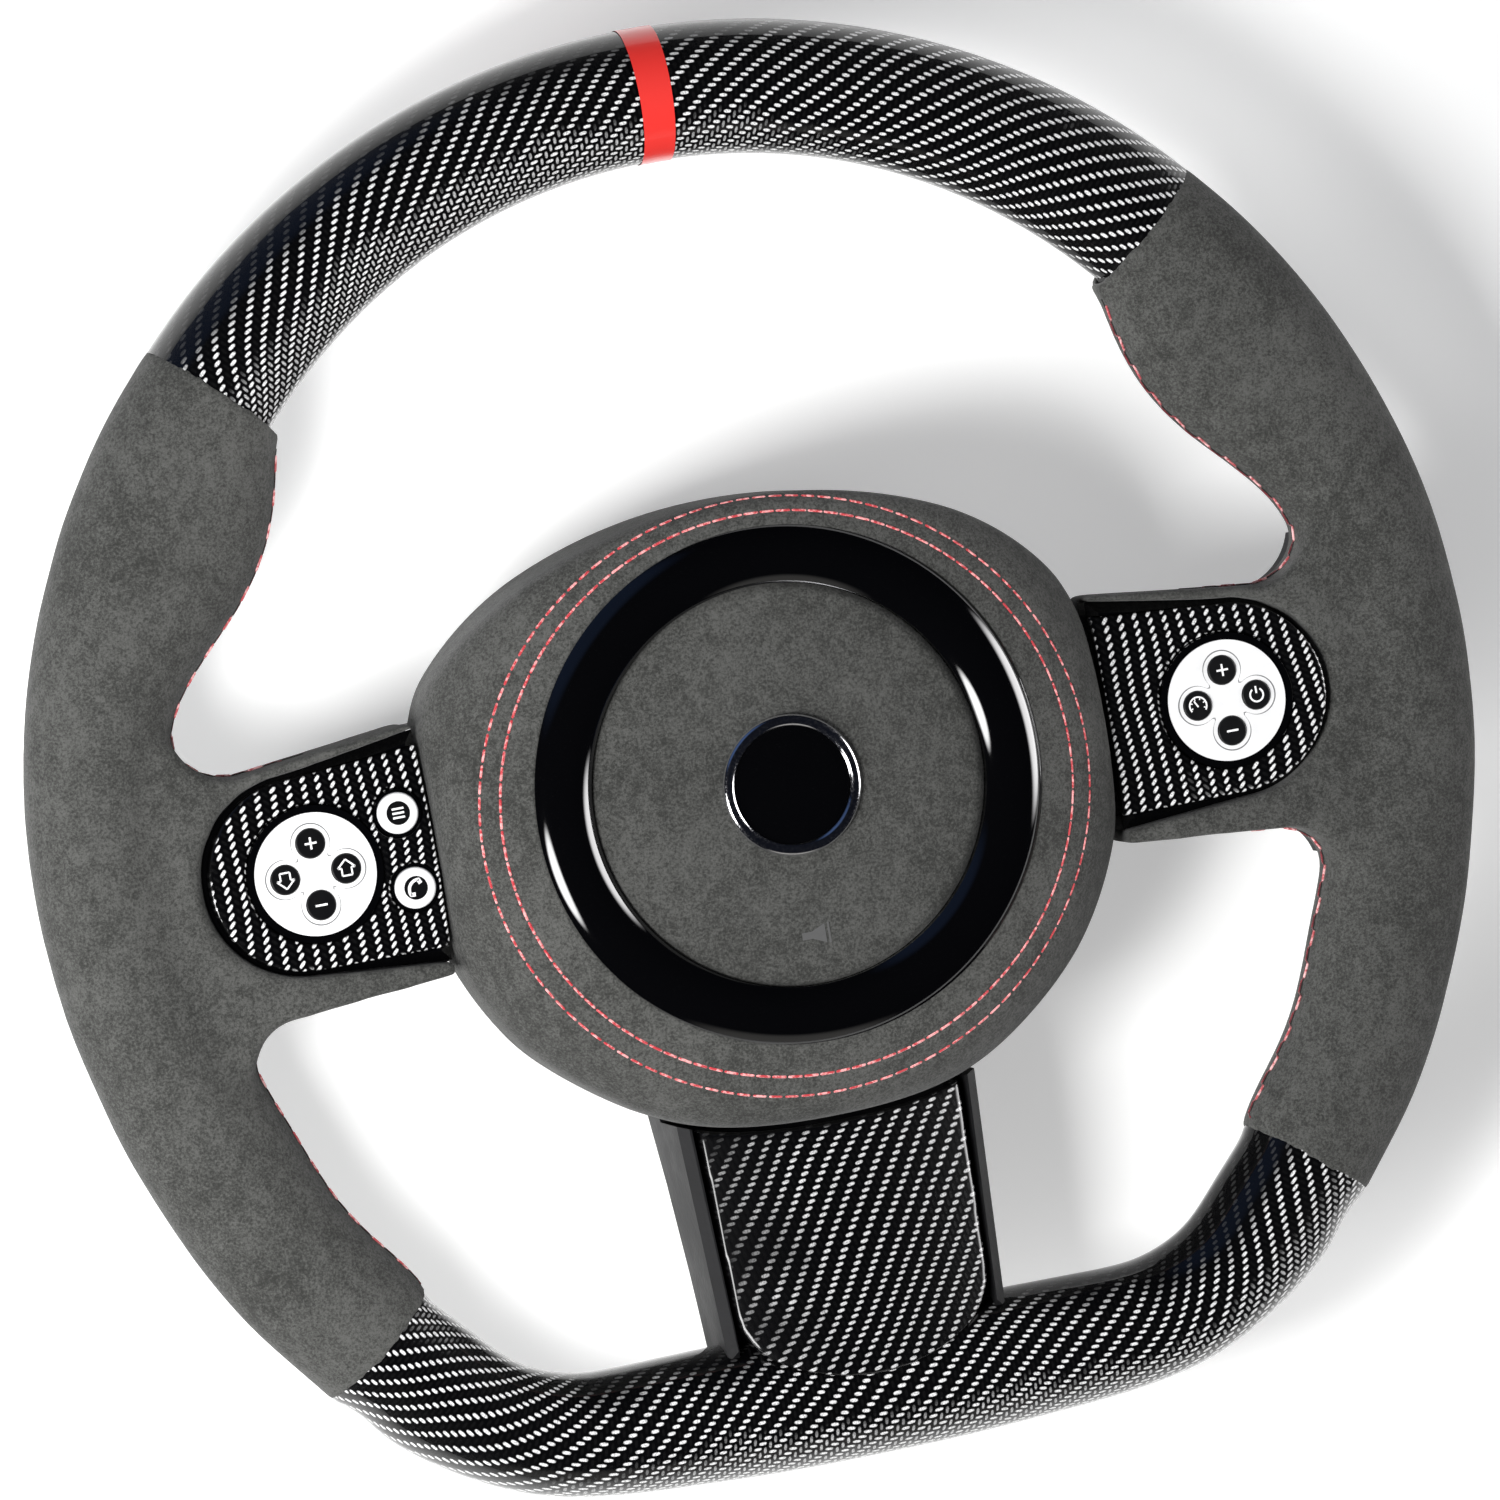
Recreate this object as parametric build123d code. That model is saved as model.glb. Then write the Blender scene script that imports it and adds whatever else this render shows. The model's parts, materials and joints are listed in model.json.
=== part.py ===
from build123d import *
import os
from math import atan2, cos, degrees, radians, sin, sqrt

# Flat-bottomed sports steering wheel with a driver airbag module.
# Millimetres.  +Z points along the steering axis toward the driver, +Y to the
# twelve o'clock mark and +X to three o'clock.  The origin is on the steering
# axis, in the plane of the hub's back face, where the column seats.

os.makedirs("parts", exist_ok=True)

# ---------------------------------------------------------------- rim
RIM_PLANE_Z = 58.0        # middle plane of the rim tube
RIM_CENTRE_Y = 5.0        # the round top of the rim is centred above the hub
TOP_R = 168.25            # path radius of the round top
SIDE_R = 230.0            # flatter lower sides
CORNER_R = 52.0           # corners of the flat bottom
SIDE_START = -20.0        # degrees about the top centre
CORNER_START = -45.8      # degrees about the side centre
CARBON_HALF_DEPTH = 15.5
GRIP_HALF_DEPTH = 16.2
CARBON_SKIN = 2.0
GRIP_SKIN = 3.0
MARKER_WIDTH = 8.3
MARKER_PROUD = 0.25

# ---------------------------------------------------------------- spokes
SPOKE_INNER_X = 86.9      # spokes stop short of the airbag cover
SPOKE_BOTTOM_Z = 50.0
SPOKE_TOP_Z = 70.5
RECESS_FLOOR_Z = 58.0
TRIM_CENTRE_X = 120.0
TRIM_CENTRE_Y = -0.6
# Spoke panels as (top edge, bottom edge, radius of the round outer end).
RECESS = (29.6, -28.2, 24.9)
TRIM = (26.0, -24.8, 23.9)
TRIM_GAP = 0.05
TRIM_TOP_Z = 71.3
TRIM_BOTTOM_Z = 66.0
TRIM_CROWN_R = 110.0      # the trim plate is barrelled across the spoke
FRAME_TOP_Z = 68.8
FRAME_SHOULDER_Z = 66.2   # from here the frame's edge leans in at 45 degrees
FRAME_BOTTOM_Z = 59.0
SHELL_TOP_Z = 68.5
SHELL_SHOULDER_Z = 66.0
SHELL_WALL = 3.0
SHELL_FLOOR_Z = 60.0
LOWER_CROWN_R = 80.0
LOWER_CROWN_Z = 75.6
LOWER_COVER_WALL = 3.2

# ---------------------------------------------------------------- switches
PAD_SWITCH_X = 117.6
PAD_SWITCH_Y = -0.8
DISC_R = 15.2
DISC_Z = (69.2, 71.8)
HOUSING_R = 17.0
HOUSING_TOP_Z = 71.6
HOUSING_FLOOR_Z = (58.2, 59.7)
BOARD_R = 14.8
BOARD_Z = (60.0, 61.4)
MAT_R = 14.6
MAT_Z = (61.5, 62.6)
MAT_NUB_R = 2.0
MAT_NUB_TOP_Z = 63.2
KEY_R = 3.65
KEY_SPACING = 7.7
KEY_TOP_Z = 72.3
KEY_TRAVEL = 0.8
KEY_FLANGE = 0.9          # holds each key under the disc
KEY_FLANGE_Z = (67.9, 69.1)
KEY_BOTTOM_Z = MAT_NUB_TOP_Z + KEY_TRAVEL + 0.2
AUX_R = 5.15
AUX_CUP_R = 5.95
AUX_CUP_TOP_Z = 71.2
AUX_BOTTOM_Z = 62.5
AUX_CENTRES = ((-94.8, 10.2), (-93.7, -8.7))
SIDE_GAP = 0.15           # running clearance round each key

# ---------------------------------------------------------------- hub and armature
HUB_BORE_R = 9.6
HUB_BORE_DEPTH = 8.0
TOOTH_TIP_R = 8.6
TOOTH_COUNT = 36
TOOTH_WIDTH = 1.1
TOOTH_Z = (8.0, 17.0)
BOLT_ROOM_R = 8.0
HUB_INSERT_R = 17.0
HUB_BOSS_R = 29.0
HUB_TOP_Z = 20.0
HUB_PLATE_R = 56.0
HUB_PLATE_Z = (10.0, 17.0)
RIM_BAR = 12.0
ARM_THICKNESS = 7.0
# Undersides as (distance from axis, height): the cast arms, then the covers below them.
ARM_PROFILE = ((20, 8), (46, 8), (90, 38), (104, 43), (160, 50))
BELLY_PROFILE = ((66, 29), (96, 37.5), (120, 41.5), (150, 44))
SIDE_ARM_WIDTH = 34.0
LOWER_ARM_X = 21.0
LOWER_ARM_WIDTH = 11.0
DOWEL_R = 2.6
DOWEL_CIRCLE_R = 24.0
DOWEL_DEPTH = 9.0
GUIDE_BOSS_R = 6.5
CONTACT_BOSS_R = 5.5
CONTACT_POINTS = ((-50.0, 13.0), (50.0, 13.0))
CONTACT_R = 2.5
CONTACT_HEAD_R = 3.4
CONTACT_ROOT_Z = 16.0
COVER_SCREW_POINTS = ((-38.0, 30.0), (38.0, 30.0), (0.0, -46.0))
COVER_SCREW_R = 2.0
COVER_SCREW_BOSS_R = 5.0
COVER_SCREW_TOP_Z = 12.0

# ---------------------------------------------------------------- airbag module
PAD_BOTTOM_Z = 50.0
PAD_WALL = 3.0
DECK_Z = 84.0             # flat seat of the ring and the centre cap
# Dome of the cover as (distance from axis, height), from the ring outward.
DOME = ((64.05, 87.4), (72.5, 84.9), (77.4, 82.6), (84.0, 76.5), (90.0, 66.0))
RING_OUTER_R = 64.0
RING_INNER_R = 49.9
RING_CREST = (57.6, 90.9)
RING_OUTER_Z = 87.6
RING_INNER_Z = 88.0
CAP_R = 49.8
CAP_EDGE_Z = 87.2
CAP_RISE = 2.2
BADGE_SEAT_Z = 88.2
BEZEL_R = 17.5
BEZEL_EDGE_Z = 90.4
BEZEL_CREST = (16.1, 91.6)
BEZEL_INNER = (14.6, 90.8)
BADGE_R = 14.5
BADGE_EDGE_Z = 90.3
BADGE_RISE = 1.2
MODULE_GAP = 0.9
HORN_TRAVEL = 2.5
CAN_CENTRE_Y = -3.0
CAN_SIZE = (124.0, 112.0)
CAN_BOTTOM_Z = 42.0
CAN_TOP_Z = 62.0
CAN_WALL = 1.6
CAN_CORNER_R = 34.0
CAN_GRIP_WALL = 2.0       # wall inside the cover that clips round the can
CAN_GRIP_TOP_Z = 80.5
INFLATOR_R = 34.0
INFLATOR_Z = (27.0, 52.0)
FLANGE_R = 41.5
FLANGE_THICKNESS = 1.5
NUT_CIRCLE_R = 38.6
NUT_ANGLES = (45, 135, 225, 315)
STUD_R = 2.5
STUD_BOTTOM_Z = 37.0
CUSHION_SIZE = (108.0, 98.0, 26.6)
CUSHION_MIDDLE_Z = 66.3
GUIDE_POINTS = ((-50.0, -2.0), (50.0, -2.0), (0.0, -51.0))
GUIDE_R = 3.0
GUIDE_Z = (12.0, 44.0)
GUIDE_HEAD_R = 4.6
GUIDE_HEAD_TOP_Z = 46.5
BOSS_TOP_Z = 26.0
SPRING_R = 4.6
SPRING_WIRE_R = 0.55
SPRING_TURNS = 4

# ---------------------------------------------------------------- rear cover
FOOT_Z = -6.0
FOOT_R = (34.0, 37.0)
COVER_OPENING_R = 30.0
COVER_WALL = 2.5
COVER_INSET = 6.0         # the cover stays hidden behind the airbag cover
COVER_BOTTOM_Z = -3.5
COVER_TOP_Z = 47.0
# Side of the bowl as (distance from axis, height): floor edge, bend, waist, rim.
BOWL = ((52.0, -3.5), (64.5, 3.2), (71.0, 20.0), (78.0, 47.0))
SCREW_HEAD_R = 3.6
SCREW_HEAD_Z = -5.4
SLOT_LENGTH = 4.8
SLOT_WIDTH = 0.8
SLOT_DEPTH = 0.9


def save(shape, node):
    """Write one sub-part, named as its node."""
    shape.label = node
    export_step(shape, f"parts/{node}.step")


def mirrored(shape):
    """The left-hand twin of a right-hand shape."""
    return mirror(shape, about=Plane.YZ)


def cylinder(radius, z_low, z_high, x=0.0, y=0.0):
    """Upright cylinder between two heights."""
    height = z_high - z_low
    return Pos(x, y, (z_low + z_high) / 2) * Cylinder(radius, height)


def tube(outer_r, inner_r, z_low, z_high, x=0.0, y=0.0):
    """Upright tube between two heights."""
    bore = cylinder(inner_r, z_low - 1, z_high + 1, x, y)
    return cylinder(outer_r, z_low, z_high, x, y) - bore


def block(x_range, y_range, z_range):
    """Box between the given limits."""
    size = [high - low for low, high in (x_range, y_range, z_range)]
    middle = [(high + low) / 2 for low, high in (x_range, y_range, z_range)]
    return Pos(*middle) * Box(*size)


def upright(face, z_low, z_high):
    """A flat outline pulled up between two heights."""
    return extrude(Pos(0, 0, z_low) * face, amount=z_high - z_low, dir=(0, 0, 1))


def leaning_top(face, z_low, z_shoulder, z_high):
    """Like upright, but the outside leans in at 45 degrees above the shoulder."""
    post = upright(face, z_low, z_high)
    return chamfer(post.edges().group_by(Axis.Z)[-1], z_high - z_shoulder)


def crown_arc(edge_r, edge_z, rise):
    """Profile of a shallow dome, from its edge up to the axis."""
    sphere_r = (edge_r ** 2 + rise ** 2) / (2 * rise)
    middle_r = edge_r / 2
    middle_z = edge_z + rise - sphere_r + sqrt(sphere_r ** 2 - middle_r ** 2)
    return ThreePointArc((edge_r, edge_z), (middle_r, middle_z), (0, edge_z + rise))


def turned(*edges):
    """Solid turned about the steering axis from a profile drawn as (radius, height)."""
    profile = Plane.XZ * make_face(Wire(edges))
    return revolve(profile, Axis.Z, 360)


# ---------------------------------------------------------------- rim path
# The path runs clockwise, seen by the driver.  Each function gives a plane
# square to the path, with its x direction pointing out of the wheel.

def path_plane(x, y, normal_angle):
    """Plane square to the rim path where the outward normal has this angle."""
    out = (cos(radians(normal_angle)), sin(radians(normal_angle)), 0)
    along = (out[1], -out[0], 0)
    return Plane(origin=(x, y, RIM_PLANE_Z), x_dir=out, z_dir=along)


def polar(centre, radius, angle):
    x = centre[0] + radius * cos(radians(angle))
    y = centre[1] + radius * sin(radians(angle))
    return x, y


TOP_CENTRE = (0.0, RIM_CENTRE_Y)
SIDE_CENTRE = polar(TOP_CENTRE, TOP_R - SIDE_R, SIDE_START)
CORNER_CENTRE = polar(SIDE_CENTRE, SIDE_R - CORNER_R, CORNER_START)
FLAT_Y = CORNER_CENTRE[1] - CORNER_R


def on_top(angle):
    return path_plane(*polar(TOP_CENTRE, TOP_R, angle), angle)


def on_side(angle):
    return path_plane(*polar(SIDE_CENTRE, SIDE_R, angle), angle)


def on_corner(angle):
    return path_plane(*polar(CORNER_CENTRE, CORNER_R, angle), angle)


def on_flat(x):
    return path_plane(x, FLAT_Y, -90)


def other_side(plane):
    """The same station on the left half of the wheel, still facing clockwise."""
    origin = plane.origin
    out = plane.x_dir
    angle = degrees(atan2(out.Y, -out.X))
    return path_plane(-origin.X, origin.Y, angle)


def rim_section(outer_half, inner_half, half_depth):
    """Tube section: one half ellipse outward of the path, another inward."""
    outside = EllipticalCenterArc((0, 0), outer_half, half_depth, -90, arc_size=180)
    inside = EllipticalCenterArc((0, 0), inner_half, half_depth, 90, arc_size=180)
    return make_face(Wire([outside, inside]))


def rim_loft(stations, half_depth, shrink=0.0):
    """Solid tube through stations (plane, outer half width, inner half width)."""
    sections = []
    for plane, outer_half, inner_half in stations:
        face = rim_section(outer_half - shrink, inner_half - shrink, half_depth - shrink)
        sections.append(plane * face)
    return loft(sections)


# Half widths are measured outward and inward from the path.
TOP_ENDS = 44.0
TOP_STATIONS = [
    (on_top(180 - TOP_ENDS), 16.1, 19.5),
    (on_top(116), 16.7, 17.6),
    (on_top(102), 16.75, 16.9),
    (on_top(90), 16.75, 16.75),
    (on_top(78), 16.75, 16.9),
    (on_top(64), 16.7, 17.6),
    (on_top(TOP_ENDS), 16.1, 19.5),
]
# The inner edge swells into a thumb rest above the spoke.
GRIP_STATIONS = [
    (on_top(TOP_ENDS), 16.75, 22.6),
    (on_top(40.5), 16.75, 26.6),
    (on_top(35.5), 16.75, 31.6),
    (on_top(30.5), 16.75, 32.7),
    (on_top(26), 16.75, 30.8),
    (on_top(21), 16.75, 26.0),
    (on_top(15), 16.8, 20.5),
    (on_top(9), 16.9, 19.2),
    (on_top(0), 17.0, 19.2),
    (on_top(-12), 17.2, 20.4),
    (on_side(-22), 18.2, 20.6),
    (on_side(-27), 19.0, 19.3),
    (on_side(-33), 19.1, 18.2),
    (on_side(-39.3), 18.5, 17.6),
]
LOWER_RIGHT_STATIONS = [
    (on_side(-39.3), 17.8, 16.9),
    (on_side(-42.5), 17.0, 16.6),
    (on_corner(-47), 15.8, 16.4),
    (on_corner(-60), 14.4, 16.6),
    (on_corner(-75), 14.0, 17.0),
    (on_corner(-88), 14.4, 17.2),
    (on_flat(48), 16.0, 17.3),
    (on_flat(24), 17.2, 17.4),
]
LOWER_LEFT_STATIONS = [(other_side(p), o, i) for p, o, i in reversed(LOWER_RIGHT_STATIONS)]
LOWER_STATIONS = LOWER_RIGHT_STATIONS + [(on_flat(0), 17.5, 17.4)] + LOWER_LEFT_STATIONS


def split_front_rear(shell):
    """Front and rear half shells, parted on the rim plane."""
    reach = (-250, 250)
    front = shell & block(reach, reach, (RIM_PLANE_Z, RIM_PLANE_Z + 40))
    rear = shell & block(reach, reach, (RIM_PLANE_Z - 40, RIM_PLANE_Z))
    return front, rear


# ---------------------------------------------------------------- outlines seen by the driver
# Right half of the airbag cover's outline, from twelve to six o'clock: x, y and
# the direction in which the edge faces.
PAD_CROWN = ((0, 71.7, 90), (28, 68.7, 77.6), (54, 60, 65.5))
PAD_SHOULDER = ((54, 60, 65.5), (70.8, 49, 50), (84.2, 34.5, 36))
PAD_SIDE = ((86, 30.5, 0), (86, -27, 0))
PAD_BELLY = ((84.6, -31, -18), (75.3, -50, -35), (53.7, -70, -56), (0, -84, -90))


def pad_outline(grow=0.0):
    """Airbag cover: round top and bottom, cut off square beside the spokes."""
    def pushed(corners):
        return [polar((x, y), grow, facing) for x, y, facing in corners]

    crown, shoulder, side, belly = map(pushed, (PAD_CROWN, PAD_SHOULDER, PAD_SIDE, PAD_BELLY))
    half = make_face(Wire([
        ThreePointArc(*crown),
        ThreePointArc(*shoulder),
        Line(shoulder[-1], side[0]),
        Line(side[0], side[1]),
        Line(side[1], belly[0]),
        Spline(*belly, tangents=[(-0.3, -1), (-1, 0)]),
        Line(belly[-1], crown[0]),
    ]))
    return (half + mirrored(half)).face()


def wedge_with_round_end(inner_top, inner_bottom, end_r):
    """Outline of a spoke panel: round outer end, sides spreading toward the hub."""
    outer_x = TRIM_CENTRE_X
    top_y = TRIM_CENTRE_Y + end_r
    bottom_y = TRIM_CENTRE_Y - end_r
    end = ThreePointArc((outer_x, top_y), (outer_x + end_r, TRIM_CENTRE_Y), (outer_x, bottom_y))
    inner_x = SPOKE_INNER_X
    bottom = Line((outer_x, bottom_y), (inner_x, inner_bottom))
    back = Line((inner_x, inner_bottom), (inner_x, inner_top))
    top = Line((inner_x, inner_top), (outer_x, top_y))
    return make_face(Wire([end, bottom, back, top]))


def spoke_outline():
    """Side spoke with round crotches where it runs into the grip."""
    top = Line((SPOKE_INNER_X, 31.5), (129, 26.5))
    upper_crotch = ThreePointArc((129, 26.5), (141.5, 29.5), (146.5, 38))
    lower_crotch = ThreePointArc((139.5, -46), (136, -39), (127.5, -35.5))
    bottom = Line((127.5, -35.5), (SPOKE_INNER_X, -32))
    return make_face(Wire([
        top,
        upper_crotch,
        Line((146.5, 38), (166, 38)),
        Line((166, 38), (166, -46)),
        Line((166, -46), (139.5, -46)),
        lower_crotch,
        bottom,
        Line((SPOKE_INNER_X, -32), (SPOKE_INNER_X, 31.5)),
    ]))


# Room that the other parts leave round the airbag cover.
PAD_CLEARANCE = upright(pad_outline(MODULE_GAP), COVER_TOP_Z, 120)


def rim_bar():
    """Closed cast bar inside the rim."""
    right = [
        ThreePointArc(polar(TOP_CENTRE, TOP_R, 90), polar(TOP_CENTRE, TOP_R, 35),
                      polar(TOP_CENTRE, TOP_R, SIDE_START)),
        ThreePointArc(polar(SIDE_CENTRE, SIDE_R, SIDE_START),
                      polar(SIDE_CENTRE, SIDE_R, (SIDE_START + CORNER_START) / 2),
                      polar(SIDE_CENTRE, SIDE_R, CORNER_START)),
        ThreePointArc(polar(CORNER_CENTRE, CORNER_R, CORNER_START),
                      polar(CORNER_CENTRE, CORNER_R, (CORNER_START - 90) / 2),
                      polar(CORNER_CENTRE, CORNER_R, -90)),
        Line((CORNER_CENTRE[0], FLAT_Y), (0, FLAT_Y)),
    ]
    path = Pos(0, 0, RIM_PLANE_Z) * Wire(right)
    section = on_top(90) * RectangleRounded(RIM_BAR, RIM_BAR, 2.5)
    half = sweep(section, path=path)
    return half + mirrored(half)


def arm_prism(width, across, turn):
    """Bent arm from the hub plate up to the rim, turned about the axis."""
    lower = [(distance, height) for distance, height in ARM_PROFILE]
    upper = [(distance, height + ARM_THICKNESS) for distance, height in reversed(ARM_PROFILE)]
    side_view = Plane.XZ * make_face(Polyline(*lower, *upper, close=True))
    arm = extrude(side_view, amount=width / 2, both=True)
    return Rot(0, 0, turn) * Pos(0, across, 0) * arm


def make_armature():
    """Light alloy casting: hub plate, four arms, rim bar and the bosses for fixings."""
    plate = cylinder(HUB_PLATE_R, *HUB_PLATE_Z)
    boss = cylinder(HUB_BOSS_R, 0, HUB_TOP_Z)
    side_arms = arm_prism(SIDE_ARM_WIDTH, -3, 0) + arm_prism(SIDE_ARM_WIDTH, 3, 180)
    lower_arms = arm_prism(LOWER_ARM_WIDTH, LOWER_ARM_X, -90)
    lower_arms += arm_prism(LOWER_ARM_WIDTH, -LOWER_ARM_X, -90)
    body = plate + boss + side_arms + lower_arms + rim_bar()
    for x, y in GUIDE_POINTS:
        body += cylinder(GUIDE_BOSS_R, HUB_PLATE_Z[0], BOSS_TOP_Z, x, y)
    for x, y in CONTACT_POINTS:
        body += cylinder(CONTACT_BOSS_R, HUB_PLATE_Z[0], BOSS_TOP_Z, x, y)
    for x, y in COVER_SCREW_POINTS:
        body += cylinder(COVER_SCREW_BOSS_R, -1.0, HUB_PLATE_Z[1], x, y)
    body -= cylinder(HUB_INSERT_R, -1, HUB_TOP_Z + 10)
    for y in (-DOWEL_CIRCLE_R, DOWEL_CIRCLE_R):
        body -= cylinder(DOWEL_R, -1, DOWEL_DEPTH, 0, y)
    for x, y in GUIDE_POINTS:
        body -= cylinder(GUIDE_R, GUIDE_Z[0], BOSS_TOP_Z + 1, x, y)
    for x, y in CONTACT_POINTS:
        body -= cylinder(CONTACT_R, CONTACT_ROOT_Z, BOSS_TOP_Z + 1, x, y)
    for x, y in COVER_SCREW_POINTS:
        body -= cylinder(COVER_SCREW_R, FOOT_Z, COVER_SCREW_TOP_Z, x, y)
    return body


def make_hub_insert():
    """Steel sleeve: plain pilot, then serrations, then room for the centre bolt."""
    sleeve = cylinder(HUB_INSERT_R, 0, HUB_TOP_Z) - cylinder(HUB_BORE_R, -1, HUB_BORE_DEPTH)
    sleeve -= cylinder(TOOTH_TIP_R, HUB_BORE_DEPTH - 1, TOOTH_Z[1])
    sleeve -= cylinder(BOLT_ROOM_R, TOOTH_Z[1] - 1, HUB_TOP_Z + 1)
    groove = Rot(0, 0, 45) * Box(TOOTH_WIDTH, TOOTH_WIDTH, TOOTH_Z[1] - TOOTH_Z[0])
    for step in range(TOOTH_COUNT):
        turn = Rot(0, 0, step * 360 / TOOTH_COUNT)
        sleeve -= turn * Pos(TOOTH_TIP_R, 0, sum(TOOTH_Z) / 2) * groove
    return sleeve


# ---------------------------------------------------------------- spokes
def make_spoke_wrap(grip, armature):
    """Padded right spoke with the recess for the trim, up to the grip."""
    body = upright(spoke_outline(), SPOKE_BOTTOM_Z, SPOKE_TOP_Z)
    body -= upright(wedge_with_round_end(*RECESS), RECESS_FLOOR_Z, SPOKE_TOP_Z + 1)
    return body - grip - armature - PAD_CLEARANCE


def make_trim(holes):
    """Barrelled panel over the right spoke, with holes for the switches."""
    panel = upright(wedge_with_round_end(*TRIM), TRIM_BOTTOM_Z, TRIM_TOP_Z + 1)
    crown = Rot(0, 90, 0) * Cylinder(TRIM_CROWN_R, 400)
    panel &= Pos(0, TRIM_CENTRE_Y, TRIM_TOP_Z - TRIM_CROWN_R) * crown
    for x, y, radius in holes:
        panel -= cylinder(radius, TRIM_BOTTOM_Z - 1, TRIM_TOP_Z + 1, x, y)
    return panel - PAD_CLEARANCE


def make_trim_frame():
    """Glossy frame that lines the recess round the trim panel."""
    top, bottom, end_r = TRIM
    hole = wedge_with_round_end(top + TRIM_GAP, bottom - TRIM_GAP, end_r + TRIM_GAP)
    frame = leaning_top(wedge_with_round_end(*RECESS), FRAME_BOTTOM_Z, FRAME_SHOULDER_Z, FRAME_TOP_Z)
    frame -= upright(hole, FRAME_BOTTOM_Z - 1, FRAME_TOP_Z + 1)
    return frame - PAD_CLEARANCE


def belly_prism(half_width, top_z):
    """Everything above the sloping underside of a spoke, along +X."""
    inner_x = BELLY_PROFILE[0][0]
    outer_x = BELLY_PROFILE[-1][0]
    side_view = Polyline(*BELLY_PROFILE, (outer_x, top_z), (inner_x, top_z), close=True)
    return extrude(Plane.XZ * make_face(side_view), amount=half_width, both=True)


def make_spoke_rear_cover(armature, wrap):
    """Plain plastic shell under the right spoke, from the rear cover outward."""
    edge_inset = 1.6
    outline = offset(spoke_outline(), -edge_inset).face()
    body = upright(outline, BELLY_PROFILE[0][1], SPOKE_BOTTOM_Z) & belly_prism(60, SPOKE_BOTTOM_Z)
    tongue = block((BELLY_PROFILE[0][0], 92), (-30, 29.5), (BELLY_PROFILE[0][1], COVER_TOP_Z))
    body += tongue & belly_prism(60, SPOKE_BOTTOM_Z)
    return body - armature - bowl_blank(0) - PAD_CLEARANCE - wrap


def lower_spoke_outline(half_at_hub, half_at_rim, longer=0):
    """Bottom spoke seen by the driver, from under the airbag cover down to the rim."""
    hub_y = -60 + longer
    rim_y = -140 - longer
    corners = ((-half_at_hub, hub_y), (half_at_hub, hub_y), (half_at_rim, rim_y), (-half_at_rim, rim_y))
    return make_face(Polyline(*corners, close=True))


def make_lower_shell(armature, rim):
    """Glossy channel that carries the bottom spoke cover."""
    half_at_hub = 39.5
    half_at_rim = 36.0
    outline = lower_spoke_outline(half_at_hub, half_at_rim)
    body = leaning_top(outline, BELLY_PROFILE[0][1], SHELL_SHOULDER_Z, SHELL_TOP_Z)
    body &= Rot(0, 0, -90) * belly_prism(60, SHELL_TOP_Z)
    pocket = lower_spoke_outline(half_at_hub - SHELL_WALL, half_at_rim - SHELL_WALL, 5)
    body -= upright(pocket, SHELL_FLOOR_Z, SHELL_TOP_Z + 1)
    return body - armature - rim - bowl_blank(0) - PAD_CLEARANCE


def lower_cover_outline():
    """U-shaped outline of the bottom spoke cover."""
    left = Line((-34.6, -60), (-32.6, -128))
    left_corner = TangentArc((-32.6, -128), (-24, -142.5), tangent=(0.03, -1))
    tip = ThreePointArc((-24, -142.5), (0, -149), (24, -142.5))
    right_corner = TangentArc((32.6, -128), (24, -142.5), tangent=(-0.03, -1))
    right = Line((32.6, -128), (34.6, -60))
    return make_face(Wire([left, left_corner, tip, right_corner, right,
                           Line((34.6, -60), (-34.6, -60))]))


def make_lower_cover(rim, armature):
    """Barrelled cover of the bottom spoke; its round end laps over the rim."""
    body = upright(lower_cover_outline(), SHELL_FLOOR_Z, 90)
    crown = Pos(0, 0, LOWER_CROWN_Z - LOWER_CROWN_R) * Rot(90, 0, 0) * Cylinder(LOWER_CROWN_R, 400)
    body &= crown
    hollow = Pos(0, 0, -LOWER_COVER_WALL) * crown
    hollow &= block((-31, 31), (-132, -50), (50, 80))
    return body - hollow - rim - armature - PAD_CLEARANCE


# ---------------------------------------------------------------- rear cover
def bowl_blank(inset):
    """Filled rear bowl, smaller by the inset on every side."""
    floor_edge, bend, waist, rim = [(r - inset, z) for r, z in BOWL]
    low = COVER_BOTTOM_Z + inset
    blank = turned(
        Line((0, low), (floor_edge[0], low)),
        ThreePointArc((floor_edge[0], low), bend, waist),
        Line(waist, rim),
        Line(rim, (0, COVER_TOP_Z)),
        Line((0, COVER_TOP_Z), (0, low)),
    )
    return blank & upright(pad_outline(-COVER_INSET - inset), COVER_BOTTOM_Z - 1, COVER_TOP_Z + 1)


def make_rear_cover(armature):
    """Bowl behind the hub, standing on a foot ring."""
    body = bowl_blank(0) - bowl_blank(COVER_WALL)
    body += tube(FOOT_R[1], FOOT_R[0], FOOT_Z, COVER_BOTTOM_Z + 0.5)
    body -= cylinder(COVER_OPENING_R, FOOT_Z - 1, HUB_PLATE_Z[0])
    for x, y in COVER_SCREW_POINTS:
        body -= cylinder(COVER_SCREW_R, FOOT_Z, HUB_PLATE_Z[0], x, y)
    return body - armature


def make_cover_screws():
    """Slotted screws that hold the rear cover to the hub plate."""
    screws = []
    for x, y in COVER_SCREW_POINTS:
        slot = Pos(x, y, SCREW_HEAD_Z) * Box(SLOT_LENGTH, SLOT_WIDTH, 2 * SLOT_DEPTH)
        head = cylinder(SCREW_HEAD_R, SCREW_HEAD_Z, COVER_BOTTOM_Z, x, y) - slot
        screws.append(head + cylinder(COVER_SCREW_R, COVER_BOTTOM_Z, COVER_SCREW_TOP_Z - 0.5, x, y))
    return Compound(children=screws)


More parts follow.
